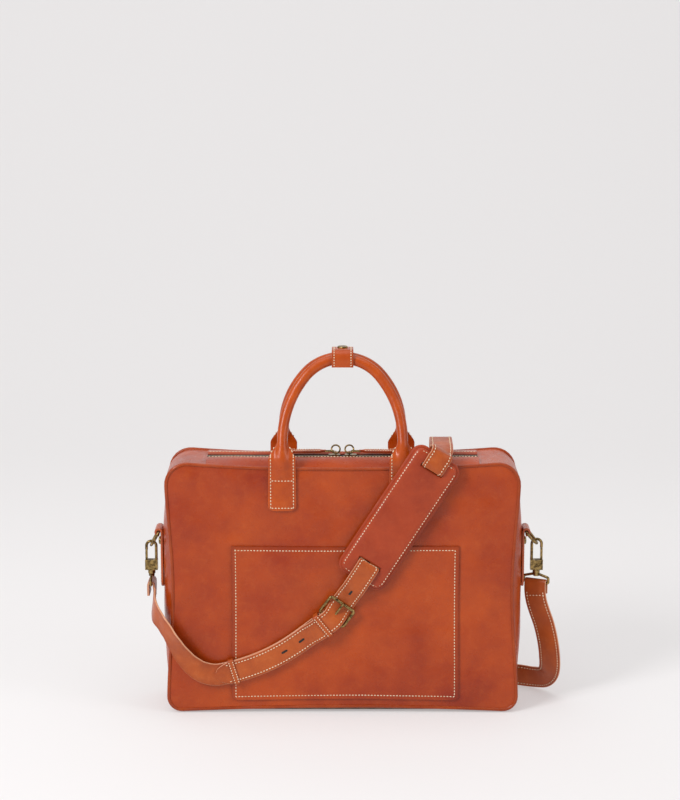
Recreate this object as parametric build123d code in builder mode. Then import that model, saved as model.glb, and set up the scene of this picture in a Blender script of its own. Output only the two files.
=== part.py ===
from build123d import *
import os

from math import asin, atan2, cos, degrees, hypot, radians, sin

# A zipped leather briefcase with two rolled handles, a strap and a sliding pad.
# X runs along the case, the front face looks along -Y and Z is up.
# The origin is at the middle of the underside. Every size is in millimetres.

os.makedirs("parts", exist_ok=True)

# ---- driving dimensions: case ----
case_width = 398.0
case_height = 286.0
case_depth = 80.0
panel_thickness = 2.5
gusset_thickness = 2.4
gusset_bulge = 3.5
piping_width = 3.8
piping_depth = 3.5
piping_round = 1.6
top_corner_radius = 28.0
bottom_corner_radius = 18.0
lining_thickness = 0.8
base_board_thickness = 2.5
base_board_margin = 20.0
divider_thickness = 5.0
divider_height = 230.0
divider_margin = 12.0
divider_place = 10.5

# ---- driving dimensions: front pocket ----
pocket_centre = 3.0
pocket_width = 252.0
pocket_bottom = 12.0
pocket_top = 193.0
pocket_thickness = 2.5
pocket_gap = 0.7
pocket_seam = 6.0
pocket_corner_radius = 5.0

# ---- driving dimensions: zip ----
mouth_width = 300.0
mouth_gap = 0.5
strip_thickness = 2.0
strip_edge = 6.5
strip_clearance = 0.6
tape_thickness = 0.8
tape_under_strip = 7.0
tooth_depth = 1.6
tooth_height = 2.4
teeth_gap = 0.1
slider_length = 13.0
slider_width = 9.2
slider_plate = 1.0
slider_inner_end = 2.5
slider_clearance = 0.3
wedge_length = 3.0
bail_place = 7.5
bail_length = 1.2
bail_half_width = 2.4
bail_height = 3.7
bail_hole_radius = 1.3
bail_hole_height = 1.25
pull_wire = 0.9
pull_ring_radius = 4.7
pull_ring_lean = 30.0
link_angle = 28.0
link_wire = 0.7
link_length = 10.4
link_half_width = 2.3
link_play = 0.15
pull_tab_length = 46.0
pull_tab_width = 10.4
pull_tab_thickness = 2.6
pull_tab_finger = 3.4

# ---- driving dimensions: handles ----
handle_spread = 66.0
tab_width = 30.0
tab_bottom = 232.0
tab_thickness = 2.8
tab_top = 288.6
tab_corner_radius = 5.0
handle_hinge_height = 290.5
handle_rise = 110.0
handle_flare = 20.0
handle_tube_radius = 5.75
handle_top_offset = 6.5
handle_shoulder_inset = 0.5
handle_crown_radius = 52.0
wrap_width = 23.7
wrap_thickness = 2.2
wrap_gap = 1.3
snap_cap_radius = 5.7
snap_cap_height = 1.8
snap_stud_radius = 3.4

# ---- driving dimensions: side fittings ----
chape_width = 25.0
chape_thickness = 3.0
chape_bottom = 137.0
ring_bar_height = 200.0
ring_wire = 1.5
ring_half_width = 14.5
ring_depth = 19.5
left_ring_lean = 28.7
right_ring_lean = 40.5
ring_bar_clearance = 0.4
rivet_height = 188.0
rivet_radius = 4.6
rivet_dome = 2.8
hook_wire = 1.6
hook_half_width = 5.4
hook_top_clearance = 1.0
barrel_radius = 4.2
barrel_bottom = 150.4
barrel_top = 166.0
gate_rivet_height = 158.5
gate_rivet_radius = 1.5
gate_rivet_head = 3.2
gate_width = 2.6
gate_top_gap = 0.5
swivel_pin_radius = 1.7
swivel_clearance = 0.3
eye_bar_height = 139.5
eye_half_width = 14.4
eye_wire = 1.5
eye_side_height = 6.5
eye_shoulder = 4.5
eye_rise = 9.2
right_eye_turn = 25.0
eye_boss_radius = 3.3

# ---- driving dimensions: strap, buckle and pad ----
strap_width = 25.0
strap_thickness = 2.6
strap_gap = 0.1
fold_clearance = 0.3
keeper_thickness = 1.2
keeper_width = 7.0
keeper_side_gap = 0.5
sliding_keeper_gap = 1.1
buckle_length = 26.0
buckle_half_width = 15.6
buckle_wire = 1.75
end_bar_clearance = 0.9
tongue_wire = 1.3
tongue_play = 0.4
adjust_slot_length = 7.0
adjust_slot_width = 2.2
tongue_slot_width = 4.4
tongue_slot_length = 17.0
tongue_loop_width = 3.2
tip_chamfer = 9.0
strap_end_length = 31.0
stretch_length = 5
pad_length = 165.0
pad_width = 55.0
pad_base_thickness = 2.6
pad_cushion_thickness = 4.2
pad_corner_radius = 12.0
pad_cushion_inset = 2.5
pad_top_slot = 17.0
pad_bottom_slot = 22.6
pad_slot_width = 4.4
pad_slot_margin = 1.0

# ---- places worked out from those sizes ----
half_case = case_width / 2
half_depth = case_depth / 2
gusset_half_depth = half_depth - panel_thickness
piping_front = gusset_half_depth + piping_depth
piping_half_width = half_case - gusset_bulge
panel_half_width = piping_half_width - piping_width
panel_bottom = piping_width + 0.2
panel_top = case_height - 0.2 - piping_width
half_mouth = mouth_width / 2
pocket_front = half_depth + pocket_thickness


def case_outline(plane, half_width, bottom, top, inset):
    """Case outline seen from the front, drawn inward by `inset`."""
    low = max(bottom_corner_radius - inset, 1.0)
    high = max(top_corner_radius - inset, 1.0)
    with BuildSketch(plane, mode=Mode.PRIVATE) as outline:
        with BuildLine():
            FilletPolyline(
                (-half_width, bottom),
                (half_width, bottom),
                (half_width, top),
                (-half_width, top),
                radius=[low, low, high, high],
                close=True,
            )
        make_face()
    return outline.sketch


# ==== case ====
piping_inset = gusset_bulge
panel_inset = gusset_bulge + piping_width
for name, face in (("front", -1), ("back", 1)):
    with BuildPart() as panel:
        near = Plane.XZ.offset(gusset_half_depth if face < 0 else -half_depth)
        outline = case_outline(near, panel_half_width, panel_bottom, panel_top, panel_inset)
        extrude(outline, amount=panel_thickness)
    panel.part.label = f"{name}_panel"
    export_step(panel.part, f"parts/{name}_panel.step")

    with BuildPart() as piping:
        near = Plane.XZ.offset(gusset_half_depth if face < 0 else -piping_front)
        outer_bottom = panel_bottom - piping_width
        outer_top = panel_top + piping_width
        outline = case_outline(near, piping_half_width, outer_bottom, outer_top, piping_inset)
        extrude(outline, amount=piping_depth)
        fillet(piping.edges().group_by(Axis.Y)[0 if face < 0 else -1], radius=piping_round)
        extrude(
            case_outline(near, panel_half_width, panel_bottom, panel_top, panel_inset),
            amount=piping_depth,
            mode=Mode.SUBTRACT,
        )
    piping.part.label = f"{name}_piping"
    export_step(piping.part, f"parts/{name}_piping.step")

gusset_back = Plane.XZ.offset(-gusset_half_depth)
with BuildPart() as gusset:
    extrude(case_outline(gusset_back, half_case, 0, case_height, 0), amount=2 * gusset_half_depth)
    extrude(
        case_outline(
            gusset_back,
            half_case - gusset_thickness,
            gusset_thickness,
            case_height - gusset_thickness,
            gusset_thickness,
        ),
        amount=2 * gusset_half_depth,
        mode=Mode.SUBTRACT,
    )
    with Locations((0, 0, case_height)):
        Box(mouth_width, case_depth, 4 * gusset_thickness, mode=Mode.SUBTRACT)
gusset.part.label = "side_bottom_gusset"
export_step(gusset.part, "parts/side_bottom_gusset.step")

lining_top = case_height - top_corner_radius
with BuildPart() as lining:
    half_inside = half_case - gusset_thickness
    extrude(
        case_outline(gusset_back, half_inside, gusset_thickness, case_height - gusset_thickness, gusset_thickness),
        amount=2 * gusset_half_depth,
    )
    lining_inset = gusset_thickness + lining_thickness
    extrude(
        case_outline(
            Plane.XZ.offset(lining_thickness - gusset_half_depth),
            half_inside - lining_thickness,
            lining_inset,
            case_height - lining_inset,
            lining_inset,
        ),
        amount=2 * (gusset_half_depth - lining_thickness),
        mode=Mode.SUBTRACT,
    )
    with Locations((0, 0, lining_top)):
        Box(
            2 * case_width,
            2 * case_depth,
            case_height,
            align=(Align.CENTER, Align.CENTER, Align.MIN),
            mode=Mode.SUBTRACT,
        )
lining.part.label = "lining"
export_step(lining.part, "parts/lining.step")

board_bottom = gusset_thickness + lining_thickness
inside_half_depth = gusset_half_depth - lining_thickness
with BuildPart() as base_board:
    with Locations((0, 0, board_bottom)):
        Box(
            case_width - 2 * base_board_margin,
            2 * inside_half_depth,
            base_board_thickness,
            align=(Align.CENTER, Align.CENTER, Align.MIN),
        )
    fillet(base_board.edges().filter_by(Axis.Z), radius=4.0)
base_board.part.label = "base_board"
export_step(base_board.part, "parts/base_board.step")

divider_bottom = board_bottom + base_board_thickness
with BuildPart() as divider:
    with Locations((0, divider_place, divider_bottom)):
        Box(
            case_width - 2 * divider_margin - 2 * gusset_thickness,
            divider_thickness,
            divider_height,
            align=(Align.CENTER, Align.CENTER, Align.MIN),
        )
    fillet(divider.edges().filter_by(Axis.Y).group_by(Axis.Z)[-1], radius=15.0)
    fillet(divider.edges().group_by(Axis.Z)[-1], radius=1.5)
divider.part.label = "laptop_divider"
export_step(divider.part, "parts/laptop_divider.step")

pocket_height = pocket_top - pocket_bottom
with BuildPart() as pocket:
    with BuildSketch(Plane.XZ.offset(half_depth)):
        with Locations((pocket_centre, pocket_bottom + pocket_height / 2)):
            Rectangle(pocket_width, pocket_height)
    extrude(amount=pocket_thickness)
    fillet(pocket.edges().filter_by(Axis.Y).group_by(Axis.Z)[0], radius=pocket_corner_radius)
    with BuildSketch(Plane.XZ.offset(half_depth)):
        with Locations((pocket_centre, pocket_bottom + pocket_seam)):
            Rectangle(
                pocket_width - 2 * pocket_seam,
                pocket_height,
                align=(Align.CENTER, Align.MIN),
            )
    extrude(amount=pocket_gap, mode=Mode.SUBTRACT)
pocket.part.label = "front_pocket"
export_step(pocket.part, "parts/front_pocket.step")

# ==== zip ====
strip_outer = gusset_half_depth - strip_clearance
strip_bottom = case_height - strip_thickness
half_strip = half_mouth - mouth_gap
chain_height = strip_bottom - tape_thickness / 2
teeth_start = slider_inner_end + wedge_length + 1.0
teeth_length = half_strip - teeth_start
for name, face in (("front", -1), ("rear", 1)):
    with BuildPart() as strip:
        with Locations((0, face * (strip_outer + strip_edge) / 2, strip_bottom + strip_thickness / 2)):
            Box(2 * half_strip, strip_outer - strip_edge, strip_thickness)
    strip.part.label = f"zip_strip_{name}"
    export_step(strip.part, f"parts/zip_strip_{name}.step")

    tape_outer = strip_edge + tape_under_strip
    with BuildPart() as tape:
        with Locations((0, face * (tape_outer + tooth_depth) / 2, chain_height)):
            Box(2 * half_strip, tape_outer - tooth_depth, tape_thickness)
    tape.part.label = f"zip_tape_{name}"
    export_step(tape.part, f"parts/zip_tape_{name}.step")

    teeth_place = (teeth_start + teeth_length / 2, face * (tooth_depth + teeth_gap) / 2, chain_height)
    with BuildPart() as teeth:
        with Locations(teeth_place, (-teeth_place[0], teeth_place[1], teeth_place[2])):
            Box(teeth_length, tooth_depth - teeth_gap, tooth_height)
    teeth.part.label = f"zip_teeth_{name}"
    export_step(teeth.part, f"parts/zip_teeth_{name}.step")

channel_half_width = tooth_depth + slider_clearance
channel_height = tooth_height + 2 * slider_clearance
slot_height = tape_thickness + 2 * slider_clearance
slider_top = chain_height + channel_height / 2 + slider_plate
ring_bottom = slider_top + bail_hole_height
lean_sine = sin(radians(pull_ring_lean))
lean_cosine = cos(radians(pull_ring_lean))
link_rise = pull_ring_radius * (1 - sin(radians(link_angle)))
link_height = ring_bottom + link_rise * lean_cosine
link_reach = pull_ring_radius * cos(radians(link_angle))
link_near = bail_place + link_reach - 1.5 * pull_wire - link_wire - link_play
link_far = link_near + link_length
for name, side in (("left", -1), ("right", 1)):
    slider_centre = side * (slider_inner_end + slider_length / 2)
    with BuildPart() as slider:
        with Locations((slider_centre, 0, chain_height)):
            Box(slider_length, slider_width, channel_height + 2 * slider_plate)
        fillet(slider.edges().filter_by(Axis.Z), radius=2.0)
        with Locations((slider_centre, 0, chain_height)):
            Box(slider_length, 2 * channel_half_width, channel_height, mode=Mode.SUBTRACT)
            Box(slider_length, slider_width, slot_height, mode=Mode.SUBTRACT)
        with Locations((side * (slider_inner_end + wedge_length / 2 + 0.5), 0, chain_height)):
            Box(wedge_length - 1.0, 2.4, channel_height)
        with Locations((side * bail_place, 0, slider_top)):
            Box(
                bail_length,
                2 * bail_half_width,
                bail_height,
                align=(Align.CENTER, Align.CENTER, Align.MIN),
            )
        with Locations(Plane(origin=(side * bail_place, 0, ring_bottom), z_dir=(1, 0, 0))):
            Cylinder(bail_hole_radius, 2 * bail_length, mode=Mode.SUBTRACT)
    slider.part.label = f"{name}_slider"
    export_step(slider.part, f"parts/{name}_slider.step")

    ring_centre = (
        side * bail_place,
        pull_ring_radius * lean_sine,
        ring_bottom + pull_ring_radius * lean_cosine,
    )
    with BuildPart() as pull_ring:
        with Locations(Plane(origin=ring_centre, x_dir=(1, 0, 0), z_dir=(0, -lean_cosine, lean_sine))):
            Torus(pull_ring_radius, pull_wire)
    pull_ring.part.label = f"{name}_pull_ring"
    export_step(pull_ring.part, f"parts/{name}_pull_ring.step")

    link_plane = Plane(origin=(0, link_rise * lean_sine, link_height))
    with BuildPart() as pull_link:
        with BuildLine(link_plane) as link_path:
            FilletPolyline(
                (side * link_near, -link_half_width),
                (side * link_far, -link_half_width),
                (side * link_far, link_half_width),
                (side * link_near, link_half_width),
                radius=link_half_width - 0.2,
                close=True,
            )
        with BuildSketch(Plane(origin=link_path.line @ 0, z_dir=link_path.line % 0)):
            Circle(link_wire)
        sweep()
    pull_link.part.label = f"{name}_pull_link"
    export_step(pull_link.part, f"parts/{name}_pull_link.step")

    tab_start = link_far + pull_tab_finger
    tab_y = link_rise * lean_sine
    with BuildPart() as pull_tab:
        with Locations((side * (tab_start + pull_tab_length / 2), tab_y, link_height)):
            Box(pull_tab_length, pull_tab_width, pull_tab_thickness)
        fillet(pull_tab.edges().filter_by(Axis.Z), radius=3.5)
        finger_length = pull_tab_finger + link_wire + 0.8
        with Locations((side * (tab_start + 1.0 - (finger_length + 1.0) / 2), tab_y, link_height)):
            Box(finger_length + 1.0, 2 * (link_half_width - link_wire - 0.6), pull_tab_thickness)
        with Locations(Plane(origin=(side * link_far, tab_y, link_height), z_dir=(0, 1, 0))):
            Cylinder(link_wire + link_play, pull_tab_width, mode=Mode.SUBTRACT)
    pull_tab.part.label = f"{name}_pull_tab"
    export_step(pull_tab.part, f"parts/{name}_pull_tab.step")

# ==== handles ====
tab_rear = piping_front
tab_front = tab_rear + tab_thickness
hinge_offset = tab_rear + tab_thickness / 2
handle_lean = asin((hinge_offset - handle_top_offset) / handle_rise)
crown_centre = handle_rise - handle_crown_radius
leg_inset = handle_spread - handle_shoulder_inset
shoulder_drop = crown_centre - handle_flare
shoulder_radius = (
    (leg_inset**2 + shoulder_drop**2 - handle_crown_radius**2) / (2 * (leg_inset - handle_crown_radius))
)
shoulder_angle = degrees(atan2(shoulder_drop, shoulder_radius - leg_inset))
tube_top_height = handle_hinge_height + handle_rise * cos(handle_lean)


def handle_plane(face):
    """Plane of one handle: its middle on the hinge line, y up along the legs."""
    up = Vector(0, -face * sin(handle_lean), cos(handle_lean))
    return Plane(
        origin=(0, face * hinge_offset, handle_hinge_height),
        x_dir=(1, 0, 0),
        z_dir=Vector(1, 0, 0).cross(up),
    )


for name, face in (("front", -1), ("rear", 1)):
    plane = handle_plane(face)
    with BuildPart() as handle:
        with BuildLine(plane) as handle_path:
            rising = JernArc((leg_inset, handle_flare), (0, 1), shoulder_radius, shoulder_angle)
            crown = JernArc(rising @ 1, rising % 1, handle_crown_radius, 180 - 2 * shoulder_angle)
            JernArc(crown @ 1, crown % 1, shoulder_radius, shoulder_angle)
        with BuildSketch(Plane(origin=handle_path.line @ 0, z_dir=handle_path.line % 0)):
            Circle(handle_tube_radius)
        sweep()
        for side in (-1, 1):
            foot = plane.from_local_coords((side * handle_spread, 0, 0))
            neck = plane.from_local_coords((side * leg_inset, handle_flare, 0))
            with BuildSketch(Plane(origin=foot, x_dir=(1, 0, 0), z_dir=plane.y_dir)):
                Rectangle(tab_width, tab_thickness)
            with BuildSketch(Plane(origin=neck, x_dir=(1, 0, 0), z_dir=plane.y_dir)):
                Circle(handle_tube_radius)
            loft()
            with Locations(Plane(origin=foot, z_dir=(1, 0, 0))):
                Cylinder(tab_thickness / 2, tab_width)
    handle.part.label = f"{name}_handle"
    export_step(handle.part, f"parts/{name}_handle.step")

    for side_name, side in (("left", -1), ("right", 1)):
        with BuildPart() as tab:
            with BuildSketch(Plane.YZ.offset(side * handle_spread - tab_width / 2)):
                with BuildLine():
                    Polyline(
                        (face * half_depth, tab_bottom),
                        (face * half_depth, panel_top - 6.0),
                        (face * tab_rear, panel_top - 1.0),
                        (face * tab_rear, tab_top),
                        (face * tab_front, tab_top),
                        (face * tab_front, panel_top - 1.0),
                        (face * (half_depth + tab_thickness), panel_top - 6.0),
                        (face * (half_depth + tab_thickness), tab_bottom),
                        close=True,
                    )
                make_face()
            extrude(amount=tab_width)
            fillet(tab.edges().filter_by(Axis.Y).group_by(Axis.Z)[0], radius=tab_corner_radius)
        tab.part.label = f"{name}_{side_name}_handle_tab"
        export_step(tab.part, f"parts/{name}_{side_name}_handle_tab.step")

# ==== handle wrap ====
sleeve_radius = handle_tube_radius + wrap_thickness
half_wrap_angle = degrees(asin(wrap_width / 2 / handle_crown_radius))
with BuildPart() as wrap:
    with BuildLine(handle_plane(1)) as wrap_path:
        CenterArc((0, crown_centre), handle_crown_radius, 90 - half_wrap_angle, 2 * half_wrap_angle)
    with BuildSketch(Plane(origin=wrap_path.line @ 0, x_dir=handle_plane(1).z_dir, z_dir=wrap_path.line % 0)):
        Circle(sleeve_radius)
        Circle(handle_tube_radius, mode=Mode.SUBTRACT)
        with Locations((handle_top_offset - 0.6, 0)):
            Rectangle(
                sleeve_radius,
                2 * sleeve_radius,
                align=(Align.MIN, Align.CENTER),
                mode=Mode.SUBTRACT,
            )
    sweep()
wrap.part.label = "handle_wrap"
export_step(wrap.part, "parts/handle_wrap.step")

flap_height = tube_top_height + sleeve_radius + wrap_gap / 2 + wrap_thickness / 2
flap_front = handle_top_offset + handle_tube_radius + wrap_gap + wrap_thickness / 2 - 0.4
flap_back = handle_top_offset + sleeve_radius + 0.6
flap_hinge = tube_top_height + 5.6
with BuildPart() as flap:
    with BuildSketch(Plane.YZ.offset(-wrap_width / 2)):
        with BuildLine() as flap_line:
            FilletPolyline(
                (flap_back, flap_hinge),
                (flap_back - 4.4, flap_height),
                (4.0 - flap_front, flap_height),
                (-flap_front, flap_height - 5.0),
                (-flap_front, tube_top_height - sleeve_radius),
                radius=2.5,
            )
        trace(flap_line.line, line_width=wrap_thickness)
    extrude(amount=wrap_width)
flap.part.label = "wrap_flap"
export_step(flap.part, "parts/wrap_flap.step")

snap_place = 4.0
flap_inside = flap_height - wrap_thickness / 2
with BuildPart() as snap_stud:
    with Locations((0, snap_place, flap_inside - 0.1)):
        Cylinder(snap_stud_radius, 2.4, align=(Align.CENTER, Align.CENTER, Align.MAX))
    with Locations(Plane(origin=(0, handle_top_offset, tube_top_height), z_dir=(1, 0, 0))):
        Cylinder(sleeve_radius, wrap_width, mode=Mode.SUBTRACT)
snap_stud.part.label = "snap_stud"
export_step(snap_stud.part, "parts/snap_stud.step")

with BuildPart() as snap_cap:
    with Locations((0, snap_place, flap_height + wrap_thickness / 2)):
        Cylinder(snap_cap_radius, snap_cap_height, align=(Align.CENTER, Align.CENTER, Align.MIN))
    fillet(snap_cap.edges().group_by(Axis.Z)[-1], radius=snap_cap_height * 0.6)
snap_cap.part.label = "snap_cap"
export_step(snap_cap.part, "parts/snap_cap.step")

# ==== side fittings ====
chape_face = half_case + chape_thickness
loop_radius = ring_wire + ring_bar_clearance + chape_thickness / 2
ring_bar_place = chape_face - chape_thickness / 2 + loop_radius
hook_places = {}
for name, side, ring_lean, eye_turn in (
    ("left", -1, left_ring_lean, 90.0),
    ("right", 1, right_ring_lean, -right_eye_turn),
):
    lean_out = sin(radians(ring_lean))
    lean_down = cos(radians(ring_lean))
    hook_place = ring_bar_place + ring_depth * lean_out
    hook_places[name] = hook_place
    ring_tip_height = ring_bar_height - ring_depth * lean_down
    bow_top = ring_tip_height + ring_wire + hook_wire + hook_top_clearance
    nose_height = bow_top - hook_half_width - 4.0
    with BuildPart() as chape:
        with Locations((side * (half_case + chape_thickness / 2), 0, chape_bottom)):
            Box(
                chape_thickness,
                chape_width,
                ring_bar_height - chape_bottom,
                align=(Align.CENTER, Align.CENTER, Align.MIN),
            )
        fillet(chape.edges().filter_by(Axis.X).group_by(Axis.Z)[0], radius=6.0)
        with Locations(Plane(origin=(side * ring_bar_place, 0, ring_bar_height), z_dir=(0, 1, 0))):
            Cylinder(loop_radius + chape_thickness / 2, chape_width)
            Cylinder(ring_wire + ring_bar_clearance, 2 * chape_width, mode=Mode.SUBTRACT)
        with Locations((0, 0, ring_bar_height)):
            Box(2 * half_case, case_depth, 8 * loop_radius, mode=Mode.SUBTRACT)
    chape.part.label = f"{name}_chape"
    export_step(chape.part, f"parts/{name}_chape.step")

    with BuildPart() as rivet:
        with Locations(Plane(origin=(side * chape_face, 0, rivet_height), z_dir=(side, 0, 0))):
            Cylinder(rivet_radius, rivet_dome, align=(Align.CENTER, Align.CENTER, Align.MIN))
        fillet(rivet.edges().sort_by(Axis.X)[-1 if side > 0 else 0], radius=rivet_dome * 0.7)
    rivet.part.label = f"{name}_chape_rivet"
    export_step(rivet.part, f"parts/{name}_chape_rivet.step")

    ring_plane = Plane(
        origin=(side * ring_bar_place, 0, ring_bar_height),
        x_dir=(0, 1, 0),
        z_dir=Vector(0, 1, 0).cross(Vector(side * lean_out, 0, -lean_down)),
    )
    with BuildPart() as d_ring:
        with BuildLine(ring_plane) as d_path:
            FilletPolyline(
                (-ring_half_width, 0),
                (ring_half_width, 0),
                (ring_half_width, ring_depth),
                (-ring_half_width, ring_depth),
                radius=[2.5, 2.5, ring_half_width - 0.5, ring_half_width - 0.5],
                close=True,
            )
        with BuildSketch(Plane(origin=d_path.line @ 0, z_dir=d_path.line % 0)):
            Circle(ring_wire)
        sweep()
    d_ring.part.label = f"{name}_d_ring"
    export_step(d_ring.part, f"parts/{name}_d_ring.step")

    inner = -side * hook_half_width
    bow_centre = bow_top - hook_half_width
    with BuildPart() as hook:
        with BuildLine(Plane.XZ) as bow_path:
            shank_place = side * hook_place + inner
            shank = Line((shank_place, barrel_top - 1.5), (shank_place, bow_centre))
            bend = JernArc(shank @ 1, (0, 1), hook_half_width, -180 * side)
            Line(bend @ 1, (side * hook_place - inner, nose_height))
        with BuildSketch(Plane(origin=bow_path.line @ 0, z_dir=bow_path.line % 0)):
            Circle(hook_wire)
        sweep()
        with Locations((side * hook_place, 0, barrel_bottom)):
            Cylinder(barrel_radius, 4.5, align=(Align.CENTER, Align.CENTER, Align.MIN))
        with Locations((side * hook_place, 0, barrel_bottom + 4.0)):
            Box(
                2 * (hook_half_width + hook_wire),
                2 * barrel_radius - 1.0,
                barrel_top - barrel_bottom - 4.0,
                align=(Align.CENTER, Align.CENTER, Align.MIN),
            )
        gate_hinge_place = side * (hook_place + 2.0)
        with Locations((gate_hinge_place + side * 4.0, 0, gate_rivet_height)):
            Box(
                16.0,
                gate_width + 2 * swivel_clearance,
                2 * (barrel_top - gate_rivet_height) + 4.0,
                mode=Mode.SUBTRACT,
            )
        with Locations(Plane(origin=(gate_hinge_place, 0, gate_rivet_height), z_dir=(0, 1, 0))):
            Cylinder(gate_rivet_radius, 4 * barrel_radius, mode=Mode.SUBTRACT)
        with Locations((side * hook_place, 0, barrel_bottom)):
            Cylinder(
                swivel_pin_radius + swivel_clearance,
                5.0,
                align=(Align.CENTER, Align.CENTER, Align.MIN),
                mode=Mode.SUBTRACT,
            )
    hook.part.label = f"{name}_hook"
    export_step(hook.part, f"parts/{name}_hook.step")

    nose_place = side * (hook_place + hook_half_width)
    with BuildPart() as gate:
        with BuildSketch(Plane.XZ.offset(gate_width / 2)):
            with BuildLine():
                Polyline(
                    (gate_hinge_place - side * 2.0, gate_rivet_height),
                    (gate_hinge_place + side * 2.6, gate_rivet_height - 1.0),
                    (nose_place + side * 1.3, barrel_top + 1.0),
                    (nose_place + side * 1.3, nose_height - gate_top_gap),
                    (nose_place - side * 1.3, nose_height - gate_top_gap),
                    (nose_place - side * 1.3, barrel_top + 1.0),
                    close=True,
                )
            make_face()
        extrude(amount=-gate_width)
        with Locations(Plane(origin=(gate_hinge_place, 0, gate_rivet_height), z_dir=(0, 1, 0))):
            Cylinder(2.4, gate_width)
            Cylinder(gate_rivet_radius + 0.1, 2 * gate_width, mode=Mode.SUBTRACT)
    gate.part.label = f"{name}_gate"
    export_step(gate.part, f"parts/{name}_gate.step")

    hook_side = barrel_radius - 0.5
    with BuildPart() as gate_rivet:
        with Locations(Plane(origin=(gate_hinge_place, 0, gate_rivet_height), z_dir=(0, 1, 0))):
            Cylinder(gate_rivet_radius, 2 * hook_side + 1.6)
        for turn in (-1, 1):
            head_place = (gate_hinge_place, turn * hook_side, gate_rivet_height)
            with Locations(Plane(origin=head_place, z_dir=(0, turn, 0))):
                Cylinder(gate_rivet_head, 1.2, align=(Align.CENTER, Align.CENTER, Align.MIN))
    gate_rivet.part.label = f"{name}_gate_rivet"
    export_step(gate_rivet.part, f"parts/{name}_gate_rivet.step")

    across = (cos(radians(eye_turn)), sin(radians(eye_turn)), 0)
    eye_plane = Plane(
        origin=(side * hook_place, 0, eye_bar_height),
        x_dir=across,
        z_dir=Vector(*across).cross(Vector(0, 0, 1)),
    )
    with BuildPart() as eye:
        with BuildLine(eye_plane) as eye_path:
            FilletPolyline(
                (-eye_half_width, 0),
                (eye_half_width, 0),
                (eye_half_width, eye_side_height),
                (eye_shoulder, eye_rise),
                (-eye_shoulder, eye_rise),
                (-eye_half_width, eye_side_height),
                radius=1.7,
                close=True,
            )
        with BuildSketch(Plane(origin=eye_path.line @ 0, z_dir=eye_path.line % 0)):
            Circle(eye_wire)
        sweep()
        boss_bottom = eye_bar_height + eye_rise - eye_wire
        boss_height = barrel_bottom - swivel_clearance - boss_bottom
        with Locations((side * hook_place, 0, boss_bottom)):
            Cylinder(eye_boss_radius, boss_height, align=(Align.CENTER, Align.CENTER, Align.MIN))
            Cylinder(swivel_pin_radius, boss_height + 4.5, align=(Align.CENTER, Align.CENTER, Align.MIN))
    eye.part.label = f"{name}_hook_eye"
    export_step(eye.part, f"parts/{name}_hook_eye.step")

# ==== strap layers in front of the pocket, nearest the case first ====
keeper_rear = pocket_front + 0.4
short_layer = keeper_rear + keeper_thickness + strap_gap + strap_thickness / 2
heel_layer = short_layer + strap_thickness / 2 + strap_gap + buckle_wire
fold_layer = heel_layer + buckle_wire + strap_gap + strap_thickness / 2
over_layer = fold_layer + strap_thickness + strap_gap
tail_layer = short_layer + strap_thickness + strap_gap
under_layer = short_layer + 2.0
end_bar_layer = under_layer + strap_thickness / 2 + end_bar_clearance + buckle_wire

pad_axis = Vector(0.5388, 0, 0.8425)
pad_across = Vector(0.8425, 0, -0.5388)
pad_middle = Vector(61.5, 0, 226.0)
pad_rear = tab_front + 3.6
pad_face = pad_rear + pad_base_thickness + pad_cushion_thickness
behind_pad = pad_rear - strap_gap - strap_thickness / 2
over_pad = pad_face + strap_gap + strap_thickness / 2
top_slot = pad_middle + pad_axis * (pad_length / 2 - pad_top_slot)
bottom_slot = pad_middle - pad_axis * (pad_length / 2 - pad_bottom_slot)

heel_point = Vector(-12.6, 0, 111.0)
buckle_axis = Vector(0.575, 0, 0.818)
end_point = heel_point + buckle_axis * (buckle_length - 2 * buckle_wire)


def strap_solid(stations):
    """Flat strap through stations of (point, inner direction), with mitred bends."""
    points = [Vector(*point) for point, _ in stations]
    last = len(points) - 1
    with BuildPart() as ribbon:
        for start in range(0, last, stretch_length):
            for index in range(start, min(start + stretch_length, last) + 1):
                back = min(index, last - 1)
                ahead = max(index, 1)
                after = (points[back + 1] - points[back]).normalized()
                before = (points[ahead] - points[ahead - 1]).normalized()
                along = (before + after).normalized()
                across = Vector(*stations[index][1]).cross(along).normalized()
                thickness = strap_thickness / max(along.dot(after), 0.6)
                with BuildSketch(Plane(origin=points[index], x_dir=across, z_dir=along)):
                    Rectangle(strap_width, thickness)
            loft(ruled=True)
    return ribbon.part


def fold_stations(centre, first, radius, up=(0, 0, 1), count=4):
    """Half turn over a bar: `first` points from the bar to the leaf that comes first."""
    middle = Vector(*centre)
    start = Vector(*first)
    rise = Vector(*up)
    turn = []
    for step in range(count + 1):
        angle = radians(180.0 * step / count)
        out = start * cos(angle) + rise * sin(angle)
        turn.append((tuple(middle + out * radius), tuple(out * -1)))
    return turn


bar_fold_radius = eye_wire + fold_clearance + strap_thickness / 2
right_bar = (hook_places["right"], 0, eye_bar_height)
left_bar = (-hook_places["left"], 0, eye_bar_height)
right_facing = (-sin(radians(right_eye_turn)), -cos(radians(right_eye_turn)), 0)
right_back = (-right_facing[0], -right_facing[1], 0)
right_rear_leaf = Vector(*right_bar) + Vector(*right_back) * bar_fold_radius
heel_fold_radius = heel_layer - short_layer
toward_case = (0, 1, 0)
away = (0, -1, 0)
down = (0, 0, -1)
axis_down = (-0.5388, -0.0, -0.8425)

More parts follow.
